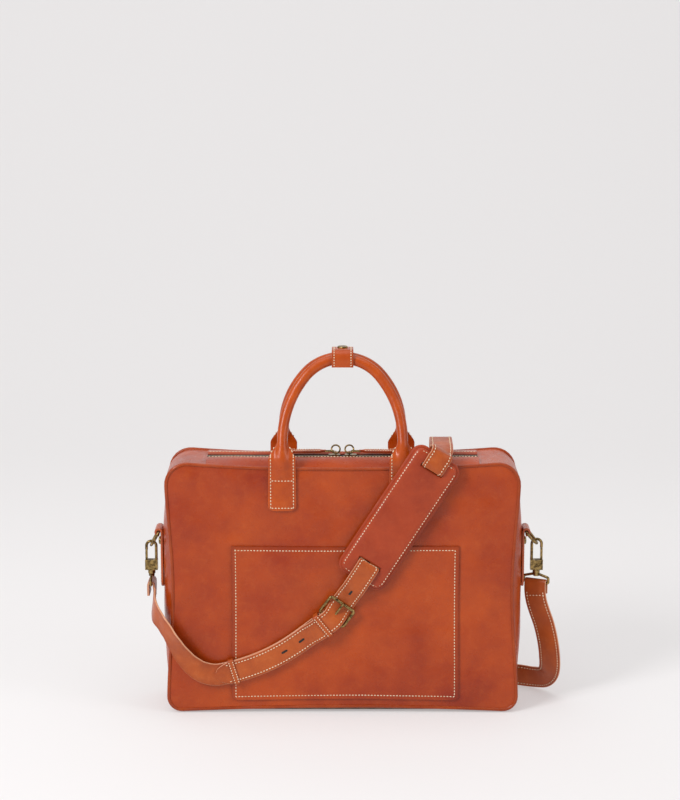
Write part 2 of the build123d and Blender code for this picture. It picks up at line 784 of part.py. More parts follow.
rear_leaf_end = (right_rear_leaf.X, right_rear_leaf.Y, eye_bar_height - strap_end_length)
long_stations = [(rear_leaf_end, right_facing)]
long_stations += fold_stations(right_bar, right_back, bar_fold_radius)
long_stations += [
    ((215.5, -2.9, 128.0), right_back),
    ((217.5, -2.6, 117.0), right_back),
    ((221.0, -1.4, 106.0), right_back),
    ((226.5, 1.0, 90.0), right_back),
    ((231.5, 5.0, 69.0), right_back),
    ((234.5, 10.5, 48.0), (0.4, 0.9, 0.1)),
    ((235.0, 19.0, 30.0), (0.45, 0.85, 0.2)),
    ((231.0, 31.0, 18.5), (0.6, 0.75, 0.1)),
    ((221.5, 43.0, 13.9), (0.6, 0.8, 0.1)),
    ((205.0, 51.5, 13.4), (0.3, 1, 0)),
    ((186.0, 54.0, 15.5), toward_case),
    ((167.0, 55.0, 25.0), toward_case),
    ((149.0, 56.5, 47.0), (0.3, 1, 0)),
    ((134.0, 58.0, 84.0), (0.8, 0.6, 0)),
    ((123.0, 58.5, 130.0), (1, 0, 0)),
    ((116.0, 55.5, 178.0), (0.8, -0.6, 0)),
    ((112.5, 48.5, 226.0), (0.25, -1, 0)),
    ((110.5, 44.0, 262.0), away),
    ((110.0, 43.4, 284.0), away),
    ((109.8, 39.0, 294.5), (0, -0.8, -0.6)),
    ((109.5, 27.0, 298.6), down),
    ((109.2, 8.0, 299.2), down),
    ((108.9, -12.0, 299.3), down),
    ((108.5, -31.0, 299.6), (-0.2, 0, -1)),
    ((108.0, -44.0, 300.3), axis_down),
    ((107.9, -(pad_face - 0.6), 299.6), (-0.5388, 0.6, -0.8425)),
    ((106.4, -over_pad, 296.0), (-0.2, 1, -0.3)),
    ((103.5, -over_pad, 291.8), toward_case),
    ((top_slot.X, -over_pad, top_slot.Z), toward_case),
    ((top_slot.X - 0.2, -behind_pad, top_slot.Z - 0.3), toward_case),
    ((bottom_slot.X + 0.2, -behind_pad, bottom_slot.Z + 0.3), toward_case),
    ((bottom_slot.X, -over_pad, bottom_slot.Z), toward_case),
    ((17.5, -over_pad, 156.6), toward_case),
    ((11.5, -(over_pad + under_layer) / 2 - 1.5, 146.6), toward_case),
    ((6.5, -under_layer - 1.0, 138.5), toward_case),
    ((end_point.X, -under_layer, end_point.Z), toward_case),
    ((-4.5, -under_layer - 2.0, 122.5), toward_case),
    ((-11.0, -over_layer, 113.3), toward_case),
    ((-20.5, -over_layer, 105.6), toward_case),
    ((-28.0, -over_layer, 99.9), toward_case),
    ((-38.0, -tail_layer - 0.6, 92.2), toward_case),
    ((-50.0, -tail_layer, 83.3), toward_case),
    ((-64.0, -tail_layer, 74.0), toward_case),
    ((-80.0, -tail_layer, 65.2), toward_case),
    ((-99.0, -tail_layer, 57.0), toward_case),
    ((-120.0, -tail_layer, 50.2), toward_case),
    ((-139.5, -tail_layer, 45.6), toward_case),
]

short_stations = [
    ((-26.0, -fold_layer, 101.3), toward_case),
    ((-19.5, -fold_layer, 106.2), toward_case),
]
short_stations += fold_stations(
    (heel_point.X, -heel_layer, heel_point.Z), (0, -1, 0), heel_fold_radius, tuple(buckle_axis), 8
)
short_stations += [
    ((-19.5, -short_layer, 106.2), away),
    ((-28.0, -short_layer, 99.9), away),
    ((-38.0, -short_layer, 92.2), away),
    ((-50.0, -short_layer, 83.3), away),
    ((-64.0, -short_layer, 74.0), away),
    ((-80.0, -short_layer, 65.2), away),
    ((-99.0, -short_layer, 57.0), away),
    ((-120.0, -short_layer, 50.2), away),
    ((-139.0, -short_layer, 46.2), away),
    ((-152.0, -46.6, 48.6), (-0.17, -0.98, 0)),
    ((-163.5, -48.8, 56.0), (-0.37, -0.93, 0)),
    ((-174.5, -50.8, 68.0), (-0.54, -0.84, 0)),
    ((-184.5, -52.0, 83.5), (-0.71, -0.71, 0)),
    ((-192.5, -51.5, 97.0), (-0.82, -0.57, 0)),
    ((-200.5, -46.0, 107.5), (-0.91, -0.42, 0)),
    ((-207.0, -36.0, 114.0), (-0.96, -0.26, 0.1)),
    ((-210.0, -20.5, 118.5), (-0.99, -0.14, 0.1)),
    ((-210.3, -6.5, 125.0), (-1, -0.05, 0.1)),
    ((bar_fold_radius - hook_places["left"], -0.3, 132.5), (-1, 0, 0)),
]
short_stations += fold_stations(left_bar, (1, 0, 0), bar_fold_radius)
outer_leaf_end = (-hook_places["left"] - bar_fold_radius, 0.0, eye_bar_height - strap_end_length)
short_stations.append((outer_leaf_end, (1, 0, 0)))


def front_plane(point, direction, layer):
    """Plane facing the front at a point of the strap, y along the strap."""
    return Plane(
        origin=(point[0], -layer, point[1]),
        x_dir=Vector(direction[1], 0, -direction[0]),
        z_dir=(0, -1, 0),
    )


tongue_slot_middle = heel_point + buckle_axis * (tongue_slot_length / 2 - 1.0)
adjust_slots = [
    ((-44.0, 87.7), (-0.80, -0.60), tail_layer),
    ((-64.5, 73.7), (-0.86, -0.51), tail_layer),
    ((9.2, 142.8), (-0.52, -0.85), under_layer + 3.0),
]
with BuildPart() as strap_long:
    add(strap_solid(long_stations))
    with Locations(front_plane((tongue_slot_middle.X, tongue_slot_middle.Z), (0.575, 0.818), over_layer)):
        Box(tongue_slot_width, tongue_slot_length, 24.0, mode=Mode.SUBTRACT)
    for middle, direction, layer in adjust_slots:
        with Locations(front_plane(middle, direction, layer)):
            Box(adjust_slot_width, adjust_slot_length, 12.0, mode=Mode.SUBTRACT)
    tip_point = (-139.5, -tail_layer, 45.6)
    chamfer(strap_long.edges().filter_by(Axis.Y).sort_by_distance(tip_point)[0:2], length=tip_chamfer)
strap_long.part.label = "strap_long"
export_step(strap_long.part, "parts/strap_long.step")

with BuildPart() as strap_short:
    add(strap_solid(short_stations))
    with Locations(front_plane((heel_point.X, heel_point.Z), (0.575, 0.818), heel_layer)):
        Box(tongue_loop_width + 1.6, 11.0, 12.0, mode=Mode.SUBTRACT)
strap_short.part.label = "strap_short"
export_step(strap_short.part, "parts/strap_short.step")

# ==== buckle ====
heel_centre = Vector(heel_point.X, -heel_layer, heel_point.Z)
end_centre = Vector(end_point.X, -end_bar_layer, end_point.Z)
buckle_rise = (end_centre - heel_centre).normalized()
buckle_across = Vector(buckle_axis.Z, 0, -buckle_axis.X)
buckle_plane = Plane(origin=heel_centre, x_dir=buckle_across, z_dir=buckle_across.cross(buckle_rise))
bar_spacing = (end_centre - heel_centre).length
with BuildPart() as buckle_frame:
    with BuildLine(buckle_plane) as buckle_path:
        FilletPolyline(
            (-buckle_half_width, 0),
            (buckle_half_width, 0),
            (buckle_half_width, bar_spacing),
            (-buckle_half_width, bar_spacing),
            radius=3.0,
            close=True,
        )
    with BuildSketch(Plane(origin=buckle_path.line @ 0, z_dir=buckle_path.line % 0)):
        Circle(buckle_wire)
    sweep()
buckle_frame.part.label = "buckle_frame"
export_step(buckle_frame.part, "parts/buckle_frame.step")

tongue_start = heel_centre + Vector(0, -(buckle_wire + strap_gap + tongue_wire - 0.5), 0)
tongue_end = end_centre + Vector(0, -(buckle_wire + tongue_play + tongue_wire), 0) + buckle_axis * 1.5
tongue_line = tongue_end - tongue_start
with BuildPart() as buckle_tongue:
    with Locations(Plane(origin=tongue_start, z_dir=tongue_line)):
        Cylinder(tongue_wire, tongue_line.length, align=(Align.CENTER, Align.CENTER, Align.MIN))
    with Locations(Plane(origin=heel_centre, z_dir=buckle_across)):
        Cylinder(buckle_wire + strap_gap + 1.5, tongue_loop_width)
        Cylinder(buckle_wire + strap_gap, 2 * tongue_loop_width, mode=Mode.SUBTRACT)
buckle_tongue.part.label = "buckle_tongue"
export_step(buckle_tongue.part, "parts/buckle_tongue.step")

keeper_inner = keeper_rear + keeper_thickness
keeper_room = strap_thickness / 2 + strap_gap
keepers = [
    ("fixed_keeper", (-21.5, 104.9), (-0.78, -0.62), over_layer + keeper_room, keeper_side_gap),
    ("sliding_keeper", (-120.0, 50.2), (-0.957, -0.29), tail_layer + keeper_room, sliding_keeper_gap),
]
for label, middle, direction, keeper_outer, side_gap in keepers:
    half_height = (keeper_outer - keeper_inner) / 2
    centre = (middle[0], -(keeper_outer + keeper_inner) / 2, middle[1])
    along_strap = Vector(direction[0], 0, direction[1])
    with BuildPart() as keeper:
        with BuildSketch(Plane(origin=centre, x_dir=(0, 1, 0), z_dir=along_strap)):
            Rectangle(2 * (half_height + keeper_thickness), strap_width + 2 * (side_gap + keeper_thickness))
            Rectangle(2 * half_height, strap_width + 2 * side_gap, mode=Mode.SUBTRACT)
        extrude(amount=keeper_width / 2, both=True)
    keeper.part.label = label
    export_step(keeper.part, f"parts/{label}.step")

# ==== shoulder pad ====
slot_length = strap_width + 2 * pad_slot_margin
slot_places = [(0, pad_length / 2 - pad_top_slot), (0, pad_bottom_slot - pad_length / 2)]
pad_plane = Plane(origin=(pad_middle.X, -pad_rear, pad_middle.Z), x_dir=pad_across, z_dir=(0, -1, 0))
with BuildPart() as pad_base:
    with BuildSketch(pad_plane):
        RectangleRounded(pad_width, pad_length, pad_corner_radius)
        with Locations(*slot_places):
            Rectangle(slot_length, pad_slot_width, mode=Mode.SUBTRACT)
    extrude(amount=pad_base_thickness)
pad_base.part.label = "shoulder_pad_base"
export_step(pad_base.part, "parts/shoulder_pad_base.step")

cushion_corner = pad_corner_radius - pad_cushion_inset
with BuildPart() as pad_top:
    with BuildSketch(pad_plane.offset(pad_base_thickness)):
        RectangleRounded(pad_width - 2 * pad_cushion_inset, pad_length - 2 * pad_cushion_inset, cushion_corner)
    extrude(amount=pad_cushion_thickness)
    fillet(pad_top.faces().sort_by(Axis.Y)[0].edges(), radius=pad_cushion_thickness * 0.6)
    with BuildSketch(pad_plane.offset(pad_base_thickness)):
        with Locations(*slot_places):
            Rectangle(slot_length, pad_slot_width)
    extrude(amount=pad_cushion_thickness, mode=Mode.SUBTRACT)
pad_top.part.label = "shoulder_pad_top"
export_step(pad_top.part, "parts/shoulder_pad_top.step")
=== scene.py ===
"""A zipped leather briefcase, dressed over its CAD frame.

Lengths are in metres: +X runs along the case, -Y is the front face, +Z is up.
"""

from __future__ import annotations

import logging
import math
from dataclasses import dataclass, field
from enum import Enum
from typing import Callable, Sequence

import bmesh
import bpy
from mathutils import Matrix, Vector, noise
from mathutils.geometry import interpolate_bezier

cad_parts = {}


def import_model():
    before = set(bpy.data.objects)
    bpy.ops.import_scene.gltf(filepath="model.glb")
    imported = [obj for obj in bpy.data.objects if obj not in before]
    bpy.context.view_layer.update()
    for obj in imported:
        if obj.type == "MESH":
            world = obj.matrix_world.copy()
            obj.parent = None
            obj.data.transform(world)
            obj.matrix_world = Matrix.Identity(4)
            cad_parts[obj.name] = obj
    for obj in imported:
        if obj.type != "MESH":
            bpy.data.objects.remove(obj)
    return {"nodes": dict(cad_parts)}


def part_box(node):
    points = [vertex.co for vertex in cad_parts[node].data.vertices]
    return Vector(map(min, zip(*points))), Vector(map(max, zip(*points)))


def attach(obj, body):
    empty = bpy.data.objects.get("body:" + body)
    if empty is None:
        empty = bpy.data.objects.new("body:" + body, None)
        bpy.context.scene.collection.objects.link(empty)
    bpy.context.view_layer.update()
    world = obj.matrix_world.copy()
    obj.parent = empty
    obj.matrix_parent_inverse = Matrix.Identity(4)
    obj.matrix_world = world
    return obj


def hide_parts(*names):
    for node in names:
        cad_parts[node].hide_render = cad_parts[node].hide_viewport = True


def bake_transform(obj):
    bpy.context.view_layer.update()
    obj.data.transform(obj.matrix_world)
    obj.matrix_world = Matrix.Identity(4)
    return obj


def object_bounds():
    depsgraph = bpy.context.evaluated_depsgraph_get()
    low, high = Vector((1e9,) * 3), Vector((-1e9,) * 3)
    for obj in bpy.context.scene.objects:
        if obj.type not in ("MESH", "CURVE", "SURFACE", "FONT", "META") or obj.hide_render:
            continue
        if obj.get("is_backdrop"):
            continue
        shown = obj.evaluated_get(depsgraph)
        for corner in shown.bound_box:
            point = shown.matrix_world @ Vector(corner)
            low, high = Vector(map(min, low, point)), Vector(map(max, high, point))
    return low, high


LOG = logging.getLogger("briefcase")
MM = 0.001
Ring = list[Vector]


def clamp(value: float, low: float = 0.0, high: float = 1.0) -> float:
    """Returns the value kept between two limits."""
    return max(low, min(high, value))


def ease(value: float) -> float:
    """Returns a smooth 0 to 1 step of the value."""
    t = clamp(value)
    return t * t * (3.0 - 2.0 * t)


def mix(a: float, b: float, t: float) -> float:
    """Returns the value a fraction t of the way from a to b."""
    return a + (b - a) * t


def spread(low: float, high: float, count: int) -> list[float]:
    """Returns evenly spaced values, both ends included."""
    return [mix(low, high, i / (count - 1)) for i in range(count)]


def linear(code: str) -> tuple[float, float, float, float]:
    """Turns an sRGB hex colour into linear red, green, blue and alpha.

    Args:
        code: Six hex digits, with or without a leading #.

    Returns:
        The linear colour with alpha 1.
    """
    digits = code.lstrip("#")
    values = [int(digits[i : i + 2], 16) / 255.0 for i in (0, 2, 4)]
    channels = [v / 12.92 if v <= 0.04045 else ((v + 0.055) / 1.055) ** 2.4 for v in values]
    return channels[0], channels[1], channels[2], 1.0


# ---------------------------------------------------------------- finishes


def add(tree: bpy.types.NodeTree, kind: str, links: dict | None = None, **settings: object) -> bpy.types.Node:
    """Adds a node, sets it up and joins its inputs.

    Args:
        tree: The node tree.
        kind: The node's type name.
        links: Input name or index to a value or to another node's output socket.
        **settings: Properties of the node itself.

    Returns:
        The new node.
    """
    node = tree.nodes.new(kind)
    for key, value in settings.items():
        setattr(node, key, value)
    for key, value in (links or {}).items():
        if isinstance(value, bpy.types.NodeSocket):
            tree.links.new(value, node.inputs[key])
        else:
            node.inputs[key].default_value = value
    return node


def blank_material(name: str) -> tuple[bpy.types.Material, bpy.types.NodeTree]:
    """Returns a new material and its emptied node tree.

    Args:
        name: The material's name.

    Returns:
        The material and its node tree.
    """
    material = bpy.data.materials.new(name)
    material.use_nodes = True
    material.node_tree.nodes.clear()
    return material, material.node_tree


def per_size(size_mm: float) -> float:
    """Returns a texture scale that gives features of the size on Object coordinates."""
    return 1.0 / (size_mm * MM)


@dataclass(frozen=True)
class Leather:
    """Vegetable-tanned cowhide, waxed: mottled cognac with fine pores and a soft shine."""

    name: str
    base: str
    deep: str
    light: str
    raw: str = "#D9A583"
    burnish: str = "#6E2109"
    mottle_mm: float = 95.0
    pore_mm: float = 1.3
    roughness: float = 0.3
    pore_depth: float = 0.16
    slack: float = 0.6

    def make(self) -> bpy.types.Material:
        """Builds the material: mottling, cut edges, burnished seams, pores and creases.

        Returns:
            The material.
        """
        material, tree = blank_material(self.name)
        place = add(tree, "ShaderNodeTexCoord").outputs["Object"]
        mottle = add(
            tree,
            "ShaderNodeTexNoise",
            {"Vector": place, "Scale": per_size(self.mottle_mm), "Detail": 5.0, "Roughness": 0.62},
        )
        patches = add(
            tree,
            "ShaderNodeMapRange",
            {
                "Value": mottle.outputs["Fac"],
                "From Min": 0.34,
                "From Max": 0.74,
                "To Min": 0.0,
                "To Max": 1.0,
            },
        )
        tone = add(
            tree,
            "ShaderNodeMixRGB",
            {"Fac": patches.outputs["Result"], "Color1": linear(self.base), "Color2": linear(self.deep)},
        )
        streak = add(
            tree,
            "ShaderNodeTexNoise",
            {"Vector": place, "Scale": per_size(9.0), "Detail": 6.0, "Roughness": 0.7, "Distortion": 0.6},
        )
        wear = add(
            tree,
            "ShaderNodeMapRange",
            {"Value": streak.outputs["Fac"], "From Min": 0.52, "From Max": 0.8, "To Min": 0.0, "To Max": 0.3},
        )
        lit = add(
            tree,
            "ShaderNodeMixRGB",
            {"Fac": wear.outputs["Result"], "Color1": tone.outputs["Color"], "Color2": linear(self.light)},
        )
        seam = add(tree, "ShaderNodeAttribute", attribute_name="burnish").outputs["Fac"]
        rubbed = add(
            tree,
            "ShaderNodeMixRGB",
            {"Fac": seam, "Color1": lit.outputs["Color"], "Color2": linear(self.burnish)},
        )
        cut = add(tree, "ShaderNodeAttribute", attribute_name="raw").outputs["Fac"]
        coloured = add(
            tree,
            "ShaderNodeMixRGB",
            {"Fac": cut, "Color1": rubbed.outputs["Color"], "Color2": linear(self.raw)},
        )
        pores = add(
            tree,
            "ShaderNodeTexVoronoi",
            {"Vector": place, "Scale": per_size(self.pore_mm), "Randomness": 1.0},
            feature="SMOOTH_F1",
        )
        crease = add(
            tree,
            "ShaderNodeTexNoise",
            {"Vector": place, "Scale": per_size(6.5), "Detail": 7.0, "Roughness": 0.6, "Distortion": 0.4},
        )
        fine = add(
            tree,
            "ShaderNodeBump",
            {"Height": pores.outputs["Distance"], "Strength": self.pore_depth, "Distance": 0.4 * MM},
        )
        folds = add(
            tree,
            "ShaderNodeBump",
            {
                "Height": crease.outputs["Fac"],
                "Strength": 0.22,
                "Distance": 1.2 * MM,
                "Normal": fine.outputs["Normal"],
            },
        )
        waves = add(
            tree,
            "ShaderNodeTexNoise",
            {"Vector": place, "Scale": per_size(85.0), "Detail": 2.0, "Roughness": 0.45},
        )
        slack = add(
            tree,
            "ShaderNodeBump",
            {
                "Height": waves.outputs["Fac"],
                "Strength": self.slack,
                "Distance": 26.0 * MM,
                "Normal": folds.outputs["Normal"],
            },
        )
        sheen_spots = add(
            tree,
            "ShaderNodeMapRange",
            {
                "Value": crease.outputs["Fac"],
                "From Min": 0.3,
                "From Max": 0.7,
                "To Min": self.roughness - 0.07,
                "To Max": self.roughness + 0.12,
            },
        )
        shader = add(
            tree,
            "ShaderNodeBsdfPrincipled",
            {
                "Base Color": coloured.outputs["Color"],
                "Roughness": sheen_spots.outputs["Result"],
                "IOR": 1.46,
                "Specular IOR Level": 0.34,
                "Coat Weight": 0.16,
                "Coat Roughness": 0.22,
                "Normal": slack.outputs["Normal"],
            },
        )
        add(tree, "ShaderNodeOutputMaterial", {"Surface": shader.outputs["BSDF"]})
        return material


@dataclass(frozen=True)
class AgedBrass:
    """Cast brass with an antique dip: dark brown, with rubbed gold patches."""

    name: str
    dark: str = "#3D2F1E"
    rubbed: str = "#A88C58"
    roughness: float = 0.3

    def make(self) -> bpy.types.Material:
        """Builds the material: patchy dark dip over brass, with faint casting grain.

        Returns:
            The material.
        """
        material, tree = blank_material(self.name)
        place = add(tree, "ShaderNodeTexCoord").outputs["Object"]
        dip = add(
            tree,
            "ShaderNodeTexNoise",
            {"Vector": place, "Scale": per_size(3.2), "Detail": 5.0, "Roughness": 0.65},
        )
        amount = add(
            tree,
            "ShaderNodeMapRange",
            {"Value": dip.outputs["Fac"], "From Min": 0.36, "From Max": 0.6},
        )
        tone = add(
            tree,
            "ShaderNodeMixRGB",
            {"Fac": amount.outputs["Result"], "Color1": linear(self.dark), "Color2": linear(self.rubbed)},
        )
        grain = add(tree, "ShaderNodeTexNoise", {"Vector": place, "Scale": per_size(0.7), "Detail": 3.0})
        skin = add(
            tree, "ShaderNodeBump", {"Height": grain.outputs["Fac"], "Strength": 0.12, "Distance": 0.2 * MM}
        )
        shader = add(
            tree,
            "ShaderNodeBsdfPrincipled",
            {
                "Base Color": tone.outputs["Color"],
                "Metallic": 0.92,
                "Roughness": self.roughness,
                "Normal": skin.outputs["Normal"],
            },
        )
        add(tree, "ShaderNodeOutputMaterial", {"Surface": shader.outputs["BSDF"]})
        return material


@dataclass(frozen=True)
class Cloth:
    """Plain-woven cotton twill: fine crossed ribs with a matte face."""

    name: str
    base: str
    deep: str
    rib_mm: float = 1.0
    roughness: float = 0.85

    def make(self) -> bpy.types.Material:
        """Builds the material: two crossed rib patterns that colour and raise the threads.

        Returns:
            The material.
        """
        material, tree = blank_material(self.name)
        place = add(tree, "ShaderNodeTexCoord").outputs["Object"]
        bands = [
            add(
                tree,
                "ShaderNodeTexWave",
                {"Vector": place, "Scale": per_size(self.rib_mm) / 20.0, "Distortion": 0.6, "Detail": 2.0},
                bands_direction=direction,
            ).outputs["Fac"]
            for direction in ("DIAGONAL", "Z")
        ]
        weave = add(tree, "ShaderNodeMath", {0: bands[0], 1: bands[1]}, operation="MULTIPLY")
        tone = add(
            tree,
            "ShaderNodeMixRGB",
            {"Fac": weave.outputs[0], "Color1": linear(self.deep), "Color2": linear(self.base)},
        )
        raised = add(
            tree, "ShaderNodeBump", {"Height": weave.outputs[0], "Strength": 0.5, "Distance": 0.3 * MM}
        )
        shader = add(
            tree,
            "ShaderNodeBsdfPrincipled",
            {
                "Base Color": tone.outputs["Color"],
                "Roughness": self.roughness,
                "Sheen Weight": 0.25,
                "Normal": raised.outputs["Normal"],
            },
        )
        add(tree, "ShaderNodeOutputMaterial", {"Surface": shader.outputs["BSDF"]})
        return material


@dataclass(frozen=True)
class Thread:
    """Waxed linen thread, cream, slightly soiled: a satin twist."""

    name: str
    base: str = "#EBD9BB"
    deep: str = "#C79E74"

    def make(self) -> bpy.types.Material:
        """Builds the material: cream with small stained patches.

        Returns:
            The material.
        """
        material, tree = blank_material(self.name)
        place = add(tree, "ShaderNodeTexCoord").outputs["Object"]
        stain = add(tree, "ShaderNodeTexNoise", {"Vector": place, "Scale": per_size(14.0), "Detail": 4.0})
        amount = add(
            tree,
            "ShaderNodeMapRange",
            {"Value": stain.outputs["Fac"], "From Min": 0.42, "From Max": 0.75, "To Max": 0.7},
        )
        tone = add(
            tree,
            "ShaderNodeMixRGB",
            {"Fac": amount.outputs["Result"], "Color1": linear(self.base), "Color2": linear(self.deep)},
        )
        shader = add(
            tree, "ShaderNodeBsdfPrincipled", {"Base Color": tone.outputs["Color"], "Roughness": 0.6}
        )
        add(tree, "ShaderNodeOutputMaterial", {"Surface": shader.outputs["BSDF"]})
        return material


class Finish(Enum):
    """The finishes of the briefcase."""

    # Waxed hide: warm orange-brown with slow darker clouds and a soft, broad shine. Real pores are
    # finer than 1.3 mm, and are drawn that coarse so that they show.
    PANEL = Leather("waxed cognac cowhide", "#B2460A", "#8A2608", "#C05C26")
    # The same hide on narrow parts: smaller clouds, so a handle is not one flat colour.
    TRIM = Leather("waxed cognac cowhide trim", "#B84C08", "#963408", "#C66426", mottle_mm=34.0)
    # Bridle leather: paler and duller than the case, with bare tan cut edges.
    STRAP = Leather("bridle leather strap", "#B4541C", "#963E14", "#C87848", mottle_mm=30.0, roughness=0.4)
    # The pad: a redder brown with the least shine, so it reads as a separate soft layer.
    PAD = Leather("matte cowhide pad", "#A83E16", "#8E2E10", "#B4562E", mottle_mm=44.0, roughness=0.45)
    # Dipped brass castings: dark brown with rubbed gold patches, and faintly grained.
    BRASS = AgedBrass("antique brass castings")
    # Zip tape: nearly black and matte; the same cloth is the painted shade inside the strap's adjusting
    # slots. Its ribs are drawn 1 mm wide so that they show.
    TAPE_AND_SLOT_SHADE = Cloth("black twill zip tape and slot shade", "#241B17", "#0E0A08")
    # Lining twill: a dull mid brown that stays quiet inside the open mouth.
    LINING = Cloth("brown twill lining", "#6B4A33", "#4A3020", rib_mm=1.4)
    # Divider twill: a shade darker than the lining, so the divider stands apart from it.
    PADDING = Cloth("padded divider twill", "#5E4230", "#3F2A1D", rib_mm=1.4)
    # Waxed linen: cream stitches, the brightest line on the leather.
    THREAD = Thread("waxed linen thread")


class Palette:
    """Makes each finish once and hands it out."""

    def __init__(self) -> None:
        """Builds every material of the briefcase."""
        self.materials = {finish: finish.value.make() for finish in Finish}

    def __getitem__(self, finish: Finish) -> bpy.types.Material:
        """Returns the material of a finish."""
        return self.materials[finish]


# ---------------------------------------------------------------- mesh helpers


@dataclass
class Skin:
    """A skin over rings of points, with cut-edge and burnish values for each point."""

    name: str
    rings: list[Ring]
    material: bpy.types.Material
    closed_run: bool = False
    raw: Callable[[int, int], float] | None = None
    burnish: Callable[[int, int], float] | None = None
    smooth_angle: float = 40.0

    def build(self) -> bpy.types.Object:
        """Joins the rings into one closed skin with outward faces.

        Returns:
            The mesh object at the origin.
        """
        count = len(self.rings[0])
        points = [tuple(point) for ring in self.rings for point in ring]
        faces: list[Sequence[int]] = []
        runs = len(self.rings) if self.closed_run else len(self.rings) - 1
        for i in range(runs):
            here = i * count
            there = ((i + 1) % len(self.rings)) * count
            for j in range(count):
                k = (j + 1) % count
                faces.append((here + j, here + k, there + k, there + j))
        if not self.closed_run:
            last = (len(self.rings) - 1) * count
            faces.append(tuple(range(count - 1, -1, -1)))
            faces.append(tuple(range(last, last + count)))
        mesh = bpy.data.meshes.new(self.name)
        mesh.from_pydata(points, [], faces)
        for label, rule in (("raw", self.raw), ("burnish", self.burnish)):
            layer = mesh.attributes.new(label, "FLOAT", "POINT")
            if rule:
                values = [rule(i, j) for i in range(len(self.rings)) for j in range(count)]
                layer.data.foreach_set("value", values)
        editable = bmesh.new()
        editable.from_mesh(mesh)
        bmesh.ops.recalc_face_normals(editable, faces=editable.faces)
        editable.to_mesh(mesh)
        editable.free()
        mesh.shade_smooth()
        mesh.set_sharp_from_angle(angle=math.radians(self.smooth_angle))
        mesh.materials.append(self.material)
        piece = bpy.data.objects.new(self.name, mesh)
        bpy.context.scene.collection.objects.link(piece)
        return piece


def slab_ring(row: Sequence[Vector], depth: Vector | Sequence[Vector], edge: float = 0.0) -> Ring:
    """Makes a closed ring round a row of points and the same row moved by its depth.

    Args:
        row: Points of the outer face.
        depth: How far the inner face lies behind it, once or for each point.
        edge: How far the rim bulges out past the ends of the row.

    Returns:
        The outer row, a rim point, the inner row backwards and the other rim point.
    """
    depths = [depth] * len(row) if isinstance(depth, Vector) else list(depth)
    inner = [point + shift for point, shift in zip(row, depths)]
    far = (row[-1] + inner[-1]) / 2 + (row[-1] - row[-2]).normalized() * edge
    near = (row[0] + inner[0]) / 2 + (row[0] - row[1]).normalized() * edge
    return [*row, far, *reversed(inner), near]


def smooth_path(points: Sequence[Vector], step: float) -> list[Vector]:
    """Returns a smooth line through the points, with points about `step` apart.

    Args:
        points: The points to pass through.
        step: About how far apart the new points are.

    Returns:
        The smooth line.
    """
    line: list[Vector] = []
    last = len(points) - 1
    for i in range(last):
        a, b = points[i], points[i + 1]
        before = points[max(i - 1, 0)]
        after = points[min(i + 2, last)]
        reach = (b - a).length / 3.0
        leave = (b - before).normalized() * reach
        arrive = (after - a).normalized() * reach
        count = max(2, round((b - a).length / step) + 1)
        stretch = interpolate_bezier(a, a + leave, b - arrive, b, count)
        line.extend(stretch[:-1] if i < last - 1 else stretch)
    return line


